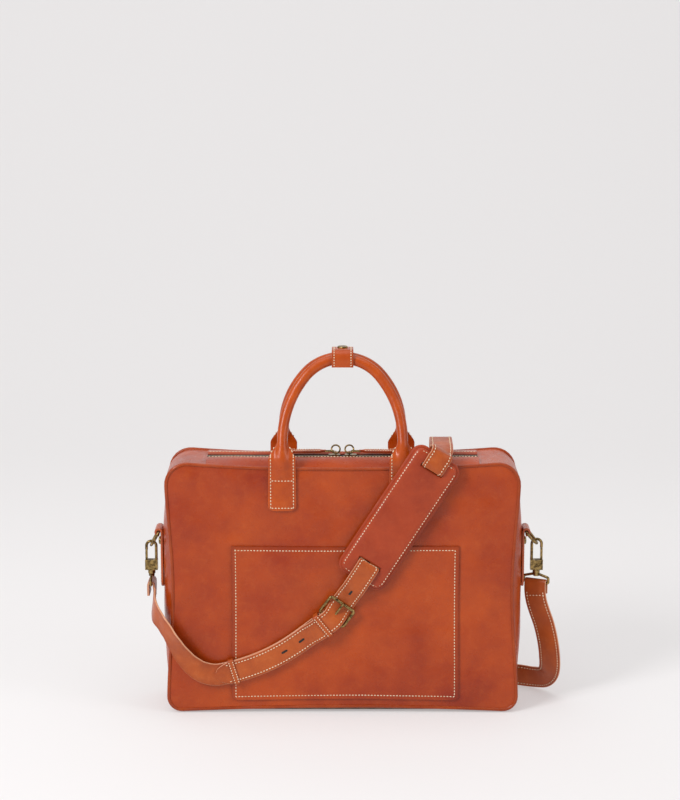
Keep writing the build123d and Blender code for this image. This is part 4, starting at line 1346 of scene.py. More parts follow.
@dataclass
class Handle:
    """A rolled handle whose leather flares out flat and is sewn down as two tabs."""

    side: int
    leg: float = 66.0 * MM
    lean: float = 19.05
    hinge_y: float = 42.4 * MM
    hinge_z: float = 290.5 * MM
    tab_low: float = -58.3 * MM
    tube: float = 5.75 * MM
    flare: float = 20.0 * MM
    shoulder_radius: float = 112.2 * MM
    shoulder_turn: float = 39.1
    crown: float = 52.0 * MM
    crown_centre: float = 58.0 * MM
    seam_inset: float = 3.0 * MM
    cross_seam: float = -24.5 * MM

    def half_line(self) -> list[tuple[float, float]]:
        """Returns the left half of the middle line as places along X and up the handle.

        Returns:
            The places, from foot to crown.
        """
        line = [(-self.leg, v) for v in spread(self.tab_low, 0.0, 22)]
        line += [(mix(-self.leg, -65.5 * MM, ease(t)), self.flare * t) for t in spread(0.12, 1.0, 9)]
        centre = self.shoulder_radius - 65.5 * MM
        for turn in spread(0.0, self.shoulder_turn, 12)[1:]:
            angle = math.radians(turn)
            reach = self.shoulder_radius
            line.append((centre - reach * math.cos(angle), self.flare + reach * math.sin(angle)))
        for turn in spread(180.0 - self.shoulder_turn, 90.0, 14)[1:]:
            angle = math.radians(turn)
            line.append((self.crown * math.cos(angle), self.crown_centre + self.crown * math.sin(angle)))
        return line

    def frame_at(self, v: float) -> tuple[Vector, Vector]:
        """Returns the middle plane's point above the leg's foot and the way out at a height.

        Args:
            v: Height up the handle from its hinge.

        Returns:
            The point and the way out.
        """
        tilt = math.radians(self.lean) * ease((v + 6.0 * MM) / (12.0 * MM))
        step = -0.9 * MM * ease((-8.0 * MM - v) / (3.0 * MM))
        run = max(v, 0.0)
        y = self.hinge_y + step - run * math.sin(math.radians(self.lean))
        z = self.hinge_z + min(v, 0.0) + run * math.cos(math.radians(self.lean))
        return Vector((0.0, self.side * y, z)), Vector((0.0, self.side * math.cos(tilt), math.sin(tilt)))

    def swell(self, v: float, x: float) -> float:
        """Returns how far the roll stands out of the tab, which is little where the pad lies on it."""
        full = 2.6 * MM if self.side > 0 or x < 0 else 0.7 * MM
        return mix(0.15 * MM, full, ease((v - self.cross_seam) / (7.0 * MM)))

    def section(self, x: float, v: float, along: Vector) -> Ring:
        """Returns the ring at one point of the middle line: a flat tab, a flare, or a round roll.

        Args:
            x: Place along the case.
            v: Height up the handle from its hinge.
            along: The way the line runs.

        Returns:
            The ring of points.
        """
        base, out = self.frame_at(v)
        middle = base + Vector((x, 0.0, 0.0))
        side = along.cross(out).normalized()
        round_share = ease(v / self.flare)
        half = mix(mix(16.0, 15.0, clamp((v - self.tab_low) / (50.0 * MM))) * MM, self.tube, round_share**0.8)
        if v < self.tab_low + 5.0 * MM:
            corner = self.tab_low + 5.0 * MM - v
            half -= 5.0 * MM - math.sqrt(max(0.0, (5.0 * MM) ** 2 - corner**2))
        flange = 1.3 * MM * (1.0 - round_share)
        lift = self.swell(v, x)
        front = mix(lift, self.tube, ease((v + 2.0 * MM) / self.flare))
        rear = mix(0.0, self.tube, ease(v / self.flare))
        power = mix(1.3, 0.5, round_share)
        reach = mix(8.2 * MM, self.tube, round_share)
        ring = []
        for k in range(56):
            angle = math.tau * k / 56
            place = half * math.cos(angle)
            bulge = max(0.0, 1.0 - (place / min(reach, half)) ** 2) ** power
            edge = abs(math.sin(angle)) ** 0.35
            height = (front if math.sin(angle) >= 0 else rear) * bulge + flange * edge
            ring.append(middle + side * place + out * math.copysign(height, math.sin(angle)))
        return ring

    def build(self, name: str, material: bpy.types.Material) -> bpy.types.Object:
        """Builds the whole handle with both its tabs as one leather piece.

        Args:
            name: Its name.
            material: Its finish.

        Returns:
            The mesh object.
        """
        left = self.half_line()
        line = left + [(-x, v) for x, v in reversed(left[:-1])]
        rings = []
        for i, (x, v) in enumerate(line):
            ahead = line[min(i + 1, len(line) - 1)]
            back = line[max(i - 1, 0)]
            run = (
                self.frame_at(ahead[1])[0]
                - self.frame_at(back[1])[0]
                + Vector((ahead[0] - back[0], 0.0, 0.0))
            )
            rings.append(self.section(x, v, run.normalized()))
        flat = {i for i, (_, v) in enumerate(line) if v < 12.0 * MM}
        return Skin(
            name,
            rings,
            material,
            burnish=lambda i, j: 0.8 if i in flat and j in (0, 1, 27, 28, 29, 55) else 0.0,
        ).build()

    def seam(self, row: Row) -> None:
        """Adds the seams round both tabs, with the line that crosses them under the roll.

        Args:
            row: The row of stitches to add to.
        """
        for leg in (-1, 1):
            for edge in (-1, 1):
                self.run_seam(
                    row,
                    leg,
                    [(edge * 12.4 * MM, v) for v in spread(self.tab_low + 4.0 * MM, 2.0 * MM, 24)],
                )
                self.run_seam(
                    row,
                    leg,
                    [
                        (edge * (12.4 - 3.6 * t**1.5) * MM, mix(4.0, 12.0, t) * MM)
                        for t in (0.0, 0.5, 1.0)
                    ],
                )
            for v in (self.tab_low + 3.2 * MM, self.cross_seam):
                self.run_seam(row, leg, [(x * MM, v) for x in spread(-10.5, 10.5, 12)])

    def run_seam(self, row: Row, leg: int, flat: list[tuple[float, float]]) -> None:
        """Adds one seam line given as places beside the leg's middle and up the tab.

        Args:
            row: The row of stitches to add to.
            leg: -1 for the left leg, 1 for the right.
            flat: Places beside the leg's middle and up the tab.
        """
        points, outs = [], []
        for x, v in flat:
            base, out = self.frame_at(v)
            lift = self.swell(v, leg * self.leg) * max(0.0, 1.0 - (x / (8.2 * MM)) ** 2) ** 1.3
            thick = 1.3 * MM * (1.0 - ease(v / self.flare))
            points.append(base + Vector((leg * self.leg + x, 0.0, 0.0)) + out * (thick + lift))
            outs.append(out)
        row.along(points, outs)

    def dress(self, palette: Palette) -> None:
        """Builds the handle and its seams.

        Args:
            palette: The finishes of the briefcase.
        """
        name = "front" if self.side < 0 else "rear"
        leather = self.build(f"{name}_handle_leather", palette[Finish.TRIM])
        seam = stitches(f"{name}_handle_seam", palette)
        self.seam(seam)
        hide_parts(f"{name}_handle", f"{name}_left_handle_tab", f"{name}_right_handle_tab")
        for piece in (leather, seam.build()):
            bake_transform(piece)
        LOG.info("%s handle", name)


# ---------------------------------------------------------------- straps and loops


Stations = list[tuple[tuple[float, float, float], tuple[float, float, float]]]


def fold(
    centre: Sequence[float],
    first: Sequence[float],
    radius: float,
    up: Sequence[float] = (0.0, 0.0, 1.0),
    count: int = 4,
) -> Stations:
    """Returns a half turn over a bar, in millimetres.

    Args:
        centre: Middle of the bar.
        first: Way from the bar to the leaf that comes first.
        radius: From the bar's middle to the strap's middle layer.
        up: Way to the top of the fold.
        count: Number of steps.

    Returns:
        Stations of a point and the way to the bar.
    """
    stations: Stations = []
    for step in range(count + 1):
        angle = math.pi * step / count
        out = Vector(first) * math.cos(angle) + Vector(up) * math.sin(angle)
        stations.append((tuple(Vector(centre) + out * radius), tuple(-out)))
    return stations


def in_metres(stations: Stations) -> list[tuple[Vector, Vector]]:
    """Turns stations in millimetres into vectors in metres."""
    return [(Vector(point) * MM, Vector(way)) for point, way in stations]


@dataclass
class Loop:
    """A closed leather band round layers of strap: a keeper."""

    name: str
    body: str
    along: tuple[float, float]
    width: float = 7.0 * MM
    thickness: float = 1.2 * MM

    def dress(self, palette: Palette) -> None:
        """Builds the band inside its CAD solid's depth, with a seam along both edges.

        Args:
            palette: The finishes of the briefcase.
        """
        low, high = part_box(self.name)
        middle = (low + high) / 2
        run = Vector((self.along[0], 0.0, self.along[1])).normalized()
        across = Vector((run.z, 0.0, -run.x))
        half = 14.0 * MM
        deep = (high.y - low.y) / 2 - self.thickness / 2
        path = []
        for cx, cy, first in ((1, 1, 0.0), (-1, 1, 90.0), (-1, -1, 180.0), (1, -1, 270.0)):
            radius = 1.6 * MM
            for angle in spread(first, first + 90.0, 5):
                turn = math.radians(angle)
                x = cx * (half - radius) + radius * math.cos(turn)
                y = cy * (deep - radius) + radius * math.sin(turn)
                path.append(middle + across * x + Vector((0.0, y, 0.0)))
        rings = []
        for i, point in enumerate(path):
            ahead = (path[(i + 1) % len(path)] - path[i - 1]).normalized()
            out = run.cross(ahead).normalized()
            if out.dot(point - middle) < 0:
                out.negate()
            row = [
                point + run * self.width * u / 2 + out * (self.thickness / 2 - 0.3 * MM * abs(u) ** 6)
                for u in spread(-1.0, 1.0, 7)
            ]
            rings.append(slab_ring(row, out * -self.thickness * 0.9))
        piece = Skin(
            f"{self.name}_band",
            rings,
            palette[Finish.STRAP],
            closed_run=True,
            burnish=lambda _, j: 0.7 if j in (0, 6, 7, 15) else 0.0,
        ).build()
        seam = stitches(f"{self.name}_seam", palette, 2.6)
        for edge in (-1, 1):
            face = Vector((0.0, -deep - self.thickness / 2, 0.0))
            points = [middle + face + across * x * MM + run * edge * 2.1 * MM for x in spread(-11.5, 11.5, 8)]
            seam.along(points, [Vector((0.0, -1.0, 0.0))] * len(points))
        thread = seam.build()
        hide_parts(self.name)
        for item in (piece, thread):
            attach(item, self.body)
        LOG.info("%s", self.name)


HOOK_X = {"left": 213.264, "right": 216.564}
BAR_Z = 139.5
FOLD_RADIUS = 3.1
RIGHT_TURN = math.radians(25.0)
TOWARD_CASE = (0.0, 1.0, 0.0)
AWAY = (0.0, -1.0, 0.0)
DOWN = (0.0, 0.0, -1.0)


@dataclass
class Straps:
    """The shoulder strap: a short buckle end and a long end that runs behind the case and over its top."""

    width: float = 25.0 * MM
    thickness: float = 2.6 * MM
    seam_inset: float = 3.0 * MM
    short_layer: float = 45.5
    fold_layer: float = 51.8
    over_layer: float = 54.5
    tail_layer: float = 48.2
    under_layer: float = 47.5
    behind_pad: float = 46.0
    over_pad: float = 55.6
    heel: tuple[float, float, float] = (-12.6, -48.65, 111.0)
    buckle_axis: tuple[float, float, float] = (0.575, 0.0, 0.818)

    def long_stations(self) -> Stations:
        """Returns the long end's line from the right hook, behind the case and over, to the tip.

        Returns:
            Points and the way in at each, in millimetres.
        """
        facing = (-math.sin(RIGHT_TURN), -math.cos(RIGHT_TURN), 0.0)
        back = (-facing[0], -facing[1], 0.0)
        bar = (HOOK_X["right"], 0.0, BAR_Z)
        leaf = Vector(bar) + Vector(back) * FOLD_RADIUS
        over, behind, tail, under = self.over_pad, self.behind_pad, self.tail_layer, self.under_layer
        stations: Stations = [((leaf.x, leaf.y, 127.0), facing)]
        stations += fold(bar, back, FOLD_RADIUS)
        stations += [
            ((215.5, -2.9, 128.0), back),
            ((217.5, -2.6, 117.0), back),
            ((221.0, -1.4, 106.0), back),
            ((226.5, 1.0, 90.0), back),
            ((231.5, 5.0, 69.0), back),
            ((234.5, 10.5, 48.0), (0.4, 0.9, 0.1)),
            ((235.0, 19.0, 30.0), (0.45, 0.85, 0.2)),
            ((231.0, 31.0, 18.5), (0.6, 0.75, 0.1)),
            ((221.5, 43.0, 13.9), (0.6, 0.8, 0.1)),
            ((205.0, 51.5, 13.4), (0.3, 1, 0)),
            ((186.0, 54.0, 15.5), TOWARD_CASE),
            ((167.0, 55.0, 25.0), TOWARD_CASE),
            ((149.0, 56.5, 47.0), (0.3, 1, 0)),
            ((134.0, 58.0, 84.0), (0.8, 0.6, 0)),
            ((123.0, 58.5, 130.0), (1, 0, 0)),
            ((116.0, 55.5, 178.0), (0.8, -0.6, 0)),
            ((112.5, 48.5, 226.0), (0.25, -1, 0)),
            ((110.5, 44.0, 262.0), AWAY),
            ((110.0, 43.4, 284.0), AWAY),
            ((109.8, 39.0, 294.5), (0, -0.8, -0.6)),
            ((109.5, 27.0, 298.6), DOWN),
            ((109.2, 8.0, 299.2), DOWN),
            ((108.9, -12.0, 299.3), DOWN),
            ((108.5, -31.0, 299.6), (-0.2, 0, -1)),
            ((108.0, -44.0, 300.3), (-0.5388, 0, -0.8425)),
            ((107.9, -53.6, 299.6), (-0.5388, 0.6, -0.8425)),
            ((106.4, -over, 296.0), (-0.2, 1, -0.3)),
            ((103.5, -over, 291.8), TOWARD_CASE),
            ((96.79, -over, 281.18), TOWARD_CASE),
            ((96.59, -behind, 280.88), TOWARD_CASE),
            ((29.43, -behind, 175.83), TOWARD_CASE),
            ((29.23, -over, 175.53), TOWARD_CASE),
            ((17.5, -over, 156.6), TOWARD_CASE),
            ((11.5, -(over + under) / 2 - 1.5, 146.6), TOWARD_CASE),
            ((6.5, -under - 1.0, 138.5), TOWARD_CASE),
            ((0.34, -under, 129.4), TOWARD_CASE),
            ((-4.5, -under - 2.0, 122.5), TOWARD_CASE),
            ((-11.0, -self.over_layer, 113.3), TOWARD_CASE),
            ((-20.5, -self.over_layer, 105.6), TOWARD_CASE),
            ((-28.0, -self.over_layer, 99.9), TOWARD_CASE),
            ((-38.0, -tail - 0.6, 92.2), TOWARD_CASE),
            ((-50.0, -tail, 83.3), TOWARD_CASE),
            ((-64.0, -tail, 74.0), TOWARD_CASE),
            ((-80.0, -tail, 65.2), TOWARD_CASE),
            ((-99.0, -tail, 57.0), TOWARD_CASE),
            ((-120.0, -tail, 50.2), TOWARD_CASE),
            ((-139.5, -tail, 45.6), TOWARD_CASE),
        ]
        return stations

    def short_stations(self) -> Stations:
        """Returns the buckle end's line from its fold at the buckle down and round to the left hook.

        Returns:
            Points and the way in at each, in millimetres.
        """
        flat = self.short_layer
        bar = (-HOOK_X["left"], 0.0, BAR_Z)
        stations: Stations = [
            ((-26.0, -self.fold_layer, 101.3), TOWARD_CASE),
            ((-19.5, -self.fold_layer, 106.2), TOWARD_CASE),
        ]
        stations += fold(self.heel, (0, -1, 0), 48.65 - flat, self.buckle_axis, 8)
        stations += [
            ((-19.5, -flat, 106.2), AWAY),
            ((-28.0, -flat, 99.9), AWAY),
            ((-38.0, -flat, 92.2), AWAY),
            ((-50.0, -flat, 83.3), AWAY),
            ((-64.0, -flat, 74.0), AWAY),
            ((-80.0, -flat, 65.2), AWAY),
            ((-99.0, -flat, 57.0), AWAY),
            ((-120.0, -flat, 50.2), AWAY),
            ((-139.0, -flat, 46.2), AWAY),
            ((-152.0, -46.6, 48.6), (-0.17, -0.98, 0)),
            ((-163.5, -48.8, 56.0), (-0.37, -0.93, 0)),
            ((-174.5, -50.8, 68.0), (-0.54, -0.84, 0)),
            ((-184.5, -52.0, 83.5), (-0.71, -0.71, 0)),
            ((-192.5, -51.5, 97.0), (-0.82, -0.57, 0)),
            ((-200.5, -46.0, 107.5), (-0.91, -0.42, 0)),
            ((-207.0, -36.0, 114.0), (-0.96, -0.26, 0.1)),
            ((-210.0, -20.5, 118.5), (-0.99, -0.14, 0.1)),
            ((-210.3, -6.5, 125.0), (-1, -0.05, 0.1)),
            ((FOLD_RADIUS - HOOK_X["left"], -0.3, 132.5), (-1, 0, 0)),
        ]
        stations += fold(bar, (1, 0, 0), FOLD_RADIUS)
        stations.append(((-HOOK_X["left"] - FOLD_RADIUS, 0.0, 127.0), (1, 0, 0)))
        return stations

    def tip(self, ribbon: Ribbon) -> Callable[[int], float]:
        """Returns the rule that rounds the long end's tip.

        Args:
            ribbon: The strap.

        Returns:
            The width's share at each point of the line.
        """
        final = len(ribbon.line) - 1
        reach = 14.0 * MM

        def share(index: int) -> float:
            """Returns the width's share at a point of the line.

            Args:
                index: A point of its line.

            Returns:
                The share of the full width.
            """
            left = (
                sum((ribbon.line[k + 1] - ribbon.line[k]).length for k in range(index, final))
                if final - index < 12
                else reach
            )
            return mix(0.3, 1.0, math.sqrt(clamp(left / reach)))

        return share

    def edge_seams(self, ribbon: Ribbon, row: Row, start: int, stop: int, flip: float = 1.0) -> None:
        """Adds a seam along both edges of a strap.

        Args:
            ribbon: The strap.
            row: The row of stitches.
            start: First point of the seams.
            stop: Last point of the seams.
            flip: 1 for the outward face, -1 for the other.
        """
        place = ribbon.width / 2 - self.seam_inset
        for across in (-place, place):
            points = [ribbon.at(i, across, flip * ribbon.thickness / 2) for i in range(start, stop + 1)]
            row.along(points, [ribbon.frames[i][2] * flip for i in range(start, stop + 1)])

    def near(self, ribbon: Ribbon, point: tuple[float, float, float]) -> int:
        """Returns the place in a strap's line nearest to a point in millimetres."""
        goal = Vector(point) * MM
        return min(range(len(ribbon.line)), key=lambda i: (ribbon.line[i] - goal).length)

    def cross_seam(self, ribbon: Ribbon, row: Row, index: int) -> None:
        """Adds a seam straight across a strap.

        Args:
            ribbon: The strap.
            row: The row of stitches to add to.
            index: A point of its line.
        """
        reach = ribbon.width / 2 - self.seam_inset
        lift = ribbon.thickness / 2
        points = [ribbon.at(index, x, lift) for x in spread(-reach, reach, 9)]
        row.along(points, [ribbon.frames[index][2]] * len(points))

    def slot_shade(self, name: str, ribbon: Ribbon, index: int, material: bpy.types.Material) -> bpy.types.Object:
        """Builds the dark mouth of one punched adjusting slot, sunk just under the leather's face: a flat
        dark patch of painted shade, with no slot cut.

        Args:
            name: Its name.
            ribbon: The strap.
            index: A point of its line.
            material: Its finish.

        Returns:
            The mesh object.
        """
        lift = ribbon.thickness / 2 + 0.12 * MM
        along, side, out = ribbon.frames[index]
        centre = ribbon.at(index, 0.0, lift)
        outline = []
        for first, end in ((-90.0, 1), (90.0, -1)):
            for angle in spread(first, first + 180.0, 7):
                turn = math.radians(angle)
                outline.append(
                    centre
                    + along * (end * 2.6 * MM + 1.2 * MM * math.cos(turn))
                    + side * 1.2 * MM * math.sin(turn)
                )
        return Skin(name, [outline, [point - out * 0.5 * MM for point in outline]], material).build()

    def dress(self, palette: Palette) -> None:
        """Builds both ends, their seams and the painted shade of their adjusting slots.

        Args:
            palette: The finishes of the briefcase.
        """
        long_end = Ribbon(in_metres(self.long_stations()), self.width, self.thickness)
        short_end = Ribbon(in_metres(self.short_stations()), self.width, self.thickness)
        leather = palette[Finish.STRAP]
        long_leather = long_end.skin("strap_long_leather", leather, taper=self.tip(long_end))
        short_leather = short_end.skin("strap_short_leather", leather)
        long_seam = stitches("strap_long_seam", palette)
        short_seam = stitches("strap_short_seam", palette)
        last = len(long_end.line) - 1
        self.edge_seams(long_end, long_seam, 12, last - 5)
        self.edge_seams(short_end, short_seam, 2, len(short_end.line) - 12)
        self.cross_seam(long_end, long_seam, self.near(long_end, (215.9, -2.85, 126.0)))
        self.cross_seam(short_end, short_seam, self.near(short_end, (-212.0, -3.0, 128.5)))
        pieces = [(long_leather, "strap_long"), (short_leather, "strap_short")]
        for piece, node in pieces:
            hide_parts(node)
        extras = [long_seam.build(), short_seam.build()]
        # Dark patches of painted shade where the long end's adjusting slots are punched.
        shaded_slots = ((-44.0, -48.2, 87.7), (-64.5, -48.2, 73.7), (9.2, -50.5, 142.8))
        for number, place in enumerate(shaded_slots, 1):
            extras.append(
                self.slot_shade(f"adjust_slot_shade_{number}", long_end, self.near(long_end, place), palette[Finish.TAPE_AND_SLOT_SHADE])
            )
        for piece in [long_leather, short_leather, *extras]:
            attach(piece, "case")
        length = sum((b - a).length for a, b in zip(long_end.line, long_end.line[1:]))
        LOG.info("straps: long end %.3f m", length)


@dataclass
class Pad:
    """The shoulder pad: a base leather and a crowned cushion, with a slot near each end for the strap."""

    length: float = 167.0 * MM
    width: float = 59.0 * MM
    corner: float = 12.0 * MM
    rear: float = 47.4 * MM
    base: float = 2.6 * MM
    cushion: float = 4.2 * MM
    middle: tuple[float, float] = (61.5 * MM, 226.0 * MM)
    axis: tuple[float, float] = (0.5388, 0.8425)
    slots: tuple[float, float] = (65.5 * MM, -59.9 * MM)
    slot_size: tuple[float, float] = (27.0 * MM, 4.4 * MM)

    def place(self, a: float, c: float, y: float) -> Vector:
        """Returns the point at a place along and across the pad."""
        ax, az = self.axis
        return Vector((self.middle[0] + ax * a + az * c, -y, self.middle[1] + az * a - ax * c))

    def half_at(self, a: float, inset: float) -> float:
        """Returns the half-width at a place along the pad, round its corners."""
        radius = self.corner - inset
        past = max(0.0, abs(a) - (self.length / 2 - inset - radius))
        return self.width / 2 - inset - radius + math.sqrt(max(0.0, radius**2 - past**2))

    def layer(
        self,
        name: str,
        inset: float,
        low: float,
        high: float,
        crown: float,
        material: bpy.types.Material,
    ) -> bpy.types.Object:
        """Builds one layer as a closed slab with a soft edge and cuts the strap's slots through it.

        Args:
            name: The piece's name.
            inset: How far its outline lies inside the base's.
            low: Depth of its rear face.
            high: Depth of its front face at the edge.
            crown: How much further its middle stands out.
            material: Its leather.

        Returns:
            The layer.
        """
        end = self.length / 2 - inset
        radius = self.corner - inset
        arc = [end - radius * (1 - math.cos(t)) for t in spread(math.pi / 2, 0.0, 9)]
        places = [-a for a in reversed(arc)] + spread(radius - end, end - radius, 56)[1:-1] + arc
        rings = []
        for a in places:
            half = max(self.half_at(a, inset), 1.5 * MM)
            row = []
            for u in spread(-1.0, 1.0, 29):
                c = half * u
                edge = min(clamp((half - abs(c)) / (8.0 * MM)), clamp((end - abs(a)) / (8.0 * MM)))
                puff = crown * (1.0 - (1.0 - edge) ** 2.4) + 0.25 * MM * wobble(a, c, 22.0 * MM, 41.0) * edge
                soft = 0.8 * MM * (1.0 - clamp(edge * 6.0)) ** 2
                row.append(self.place(a, c, high + puff - soft))
            depths = [Vector((0.0, -low - point.y, 0.0)) for point in row]
            rings.append(slab_ring(row, depths, 0.3 * MM))
        piece = Skin(
            name,
            rings,
            material,
            burnish=lambda i, j: 0.5 if j in (28, 29, 30, 59) or i in (0, len(places) - 1) else 0.0,
        ).build()
        for number, a in enumerate(self.slots):
            self.cut(piece, a, f"{name}_slot_{number}")
        return piece

    def cut(self, piece: bpy.types.Object, a: float, name: str) -> None:
        """Cuts one slot for the strap through a layer.

        Args:
            piece: The layer.
            a: The slot's place along the pad.
            name: The cutter's name.
        """
        long_side, short_side = self.slot_size
        corners = [(-1, -1), (1, -1), (1, 1), (-1, 1)]
        outline = [(a + v * short_side / 2, u * long_side / 2) for u, v in corners]
        rings = [
            [self.place(p, q, y) for p, q in outline]
            for y in (self.rear - 4.0 * MM, self.rear + 16.0 * MM)
        ]
        cutter = Skin(name, rings, piece.data.materials[0]).build()
        modifier = piece.modifiers.new("slot", "BOOLEAN")
        modifier.operation = "DIFFERENCE"
        modifier.solver = "EXACT"
        modifier.object = cutter
        bpy.context.view_layer.update()
        seen = piece.evaluated_get(bpy.context.evaluated_depsgraph_get())
        mesh = bpy.data.meshes.new_from_object(seen)
        piece.modifiers.clear()
        piece.data = mesh
        bpy.data.objects.remove(cutter)

    def seam(self, row: Row, inset: float, depth: float) -> None:
        """Adds the seam that holds the cushion to the base.

        Args:
            row: The row of stitches to add to.
            inset: Distance inside the pad's edge.
            depth: How far out the seam lies.
        """
        radius = self.corner - inset + 1.0 * MM
        a_end, c_end = self.length / 2 - inset, self.width / 2 - inset
        points = []
        for ca, cc, first in ((1, 1, 0.0), (-1, 1, 90.0), (-1, -1, 180.0), (1, -1, 270.0)):
            for angle in spread(first, first + 90.0, 7):
                turn = math.radians(angle)
                a = ca * (a_end - radius) + radius * math.cos(turn)
                c = cc * (c_end - radius) + radius * math.sin(turn)
                points.append(self.place(a, c, depth))
        points.append(points[0])
        row.along(points, [Vector((0.0, -1.0, 0.0))] * len(points))

    def dress(self, palette: Palette) -> None:
        """Builds the pad's layers and seam, which slide together along the strap.

        Args:
            palette: The finishes of the briefcase.
        """
        material = palette[Finish.PAD]
        face = self.rear + self.base
        base = self.layer("pad_base_leather", 0.0, self.rear, face, 0.0, material)
        top = self.layer("pad_cushion", 2.5 * MM, face, face + self.cushion - 2.4 * MM, 2.4 * MM, material)
        seam = stitches("pad_seam", palette)
        self.seam(seam, 5.2 * MM, face + self.cushion - 1.05 * MM)
        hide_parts("shoulder_pad_base")
        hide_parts("shoulder_pad_top")
        for piece in (base, top, seam.build()):
            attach(piece, "shoulder_pad")
        LOG.info("shoulder pad")


@dataclass
class Chape:
    """The leather loop on a side of the case that holds a D-ring."""

    side: int
    face: float = 200.5
    bar: tuple[float, float] = (203.9, 200.0)
    low: float = 137.0
    radius: float = 3.4
    width: float = 25.0 * MM

    def dress(self, palette: Palette) -> None:
        """Builds the loop, sewn flat to the gusset below its bar.

        Args:
            palette: The finishes of the briefcase.
        """
        name = "left" if self.side < 0 else "right"
        inner = (-self.side, 0.0, 0.0)
        stations: Stations = [
            ((self.side * self.face, 0.0, z), inner) for z in (self.low, 150.0, 165.0, 180.0, 192.0)
        ]
        for angle in spread(180.0, -100.0, 9):
            turn = math.radians(angle)
            way = (self.side * math.cos(turn), 0.0, math.sin(turn))
            point = (self.side * self.bar[0] + way[0] * self.radius, 0.0, self.bar[1] + way[2] * self.radius)
            stations.append((point, tuple(-value for value in way)))
        stations[:5] = [(point, tuple(-value for value in inner)) for point, _ in stations[:5]]
        band = Ribbon(in_metres(stations), self.width, 2.8 * MM, step=2.0 * MM)
        foot = 7.0 * MM

        def share(index: int) -> float:
            """Returns the width's share, which rounds the foot."""
            rise = band.line[index].z - self.low * MM
            return mix(0.55, 1.0, math.sqrt(clamp(rise / foot))) if index < 12 else 1.0

        piece = band.skin(f"{name}_chape_leather", palette[Finish.TRIM], taper=share, cut=0.1)
        seam = stitches(f"{name}_chape_seam", palette, 3.2)
        out = Vector((self.side, 0.0, 0.0))
        for y in (-9.8, 9.8):
            points = [Vector((self.side * (self.face + 1.4), y, z)) * MM for z in spread(143.0, 190.0, 16)]
            seam.along(points, [out] * len(points))
        foot_line = [Vector((self.side * (self.face + 1.4), y, 140.5)) * MM for y in spread(-7.0, 7.0, 6)]
        seam.along(foot_line, [out] * 6)
        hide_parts(f"{name}_chape")
        for item in (piece, seam.build()):
            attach(item, "case")
        LOG.info("%s chape", name)


@dataclass
class Wrap:
    """The band that holds the handles together: a sleeve on the rear one, a flap that snaps round both."""

    width: float = 23.7 * MM
    thickness: float = 2.2 * MM
    tube: tuple[float, float] = (6.5, 394.48)
    radius: float = 6.85

    def sheet(self, name: str, stations: Stations, palette: Palette, node: str, body: str) -> None:
        """Builds one leather sheet of the wrap with a seam along both its edges.

        Args:
            name: Its name.
            stations: The sheet's line.
            palette: The finishes of the briefcase.
            node: The CAD node it replaces.
            body: The body it rides on.
        """
        band = Ribbon(in_metres(stations), self.width, self.thickness, step=1.2 * MM)
        piece = band.skin(name, palette[Finish.TRIM], cut=0.15)
        seam = stitches(f"{name}_seam", palette, 2.7)
        place = self.width / 2 - 2.6 * MM
        for across in (-place, place):
            points = [band.at(i, across, self.thickness / 2) for i in range(2, len(band.line) - 2)]
            seam.along(points, [band.frames[i][2] for i in range(2, len(band.line) - 2)])
        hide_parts(node)
        for item in (piece, seam.build()):
            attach(item, body)

    def dress(self, palette: Palette) -> None:
        """Builds the sleeve and the flap.

        Args:
            palette: The finishes of the briefcase.
        """
        y, z = self.tube
        sleeve: Stations = []
        for angle in spread(52.0, -232.0, 19):
            turn = math.radians(angle)
            way = (0.0, math.cos(turn), math.sin(turn))
            sleeve.append(((0.0, y + way[1] * self.radius, z + way[2] * self.radius), tuple(-v for v in way)))
        self.sheet("wrap_sleeve_leather", sleeve, palette, "handle_wrap", "rear_handle")
        flap: Stations = [
            ((0.0, 15.05, 400.08), (0, -0.7, -0.7)),
            ((0.0, 12.6, 402.6), (0, -0.7, -0.7)),
            ((0.0, 9.6, 404.1), (0, -0.2, -1)),
            ((0.0, 4.0, 404.3), DOWN),
            ((0.0, -3.0, 404.3), DOWN),
            ((0.0, -9.4, 403.6), (0, 0.3, -1)),
            ((0.0, -12.9, 400.9), (0, 0.7, -0.7)),
            ((0.0, -14.25, 396.5), (0, 1, -0.1)),
            ((0.0, -14.25, 391.0), TOWARD_CASE),
            ((0.0, -14.0, 386.6), TOWARD_CASE),
        ]
        self.sheet("wrap_flap_leather", flap, palette, "wrap_flap", "wrap_flap")
        LOG.info("handle wrap")


# ---------------------------------------------------------------- inside


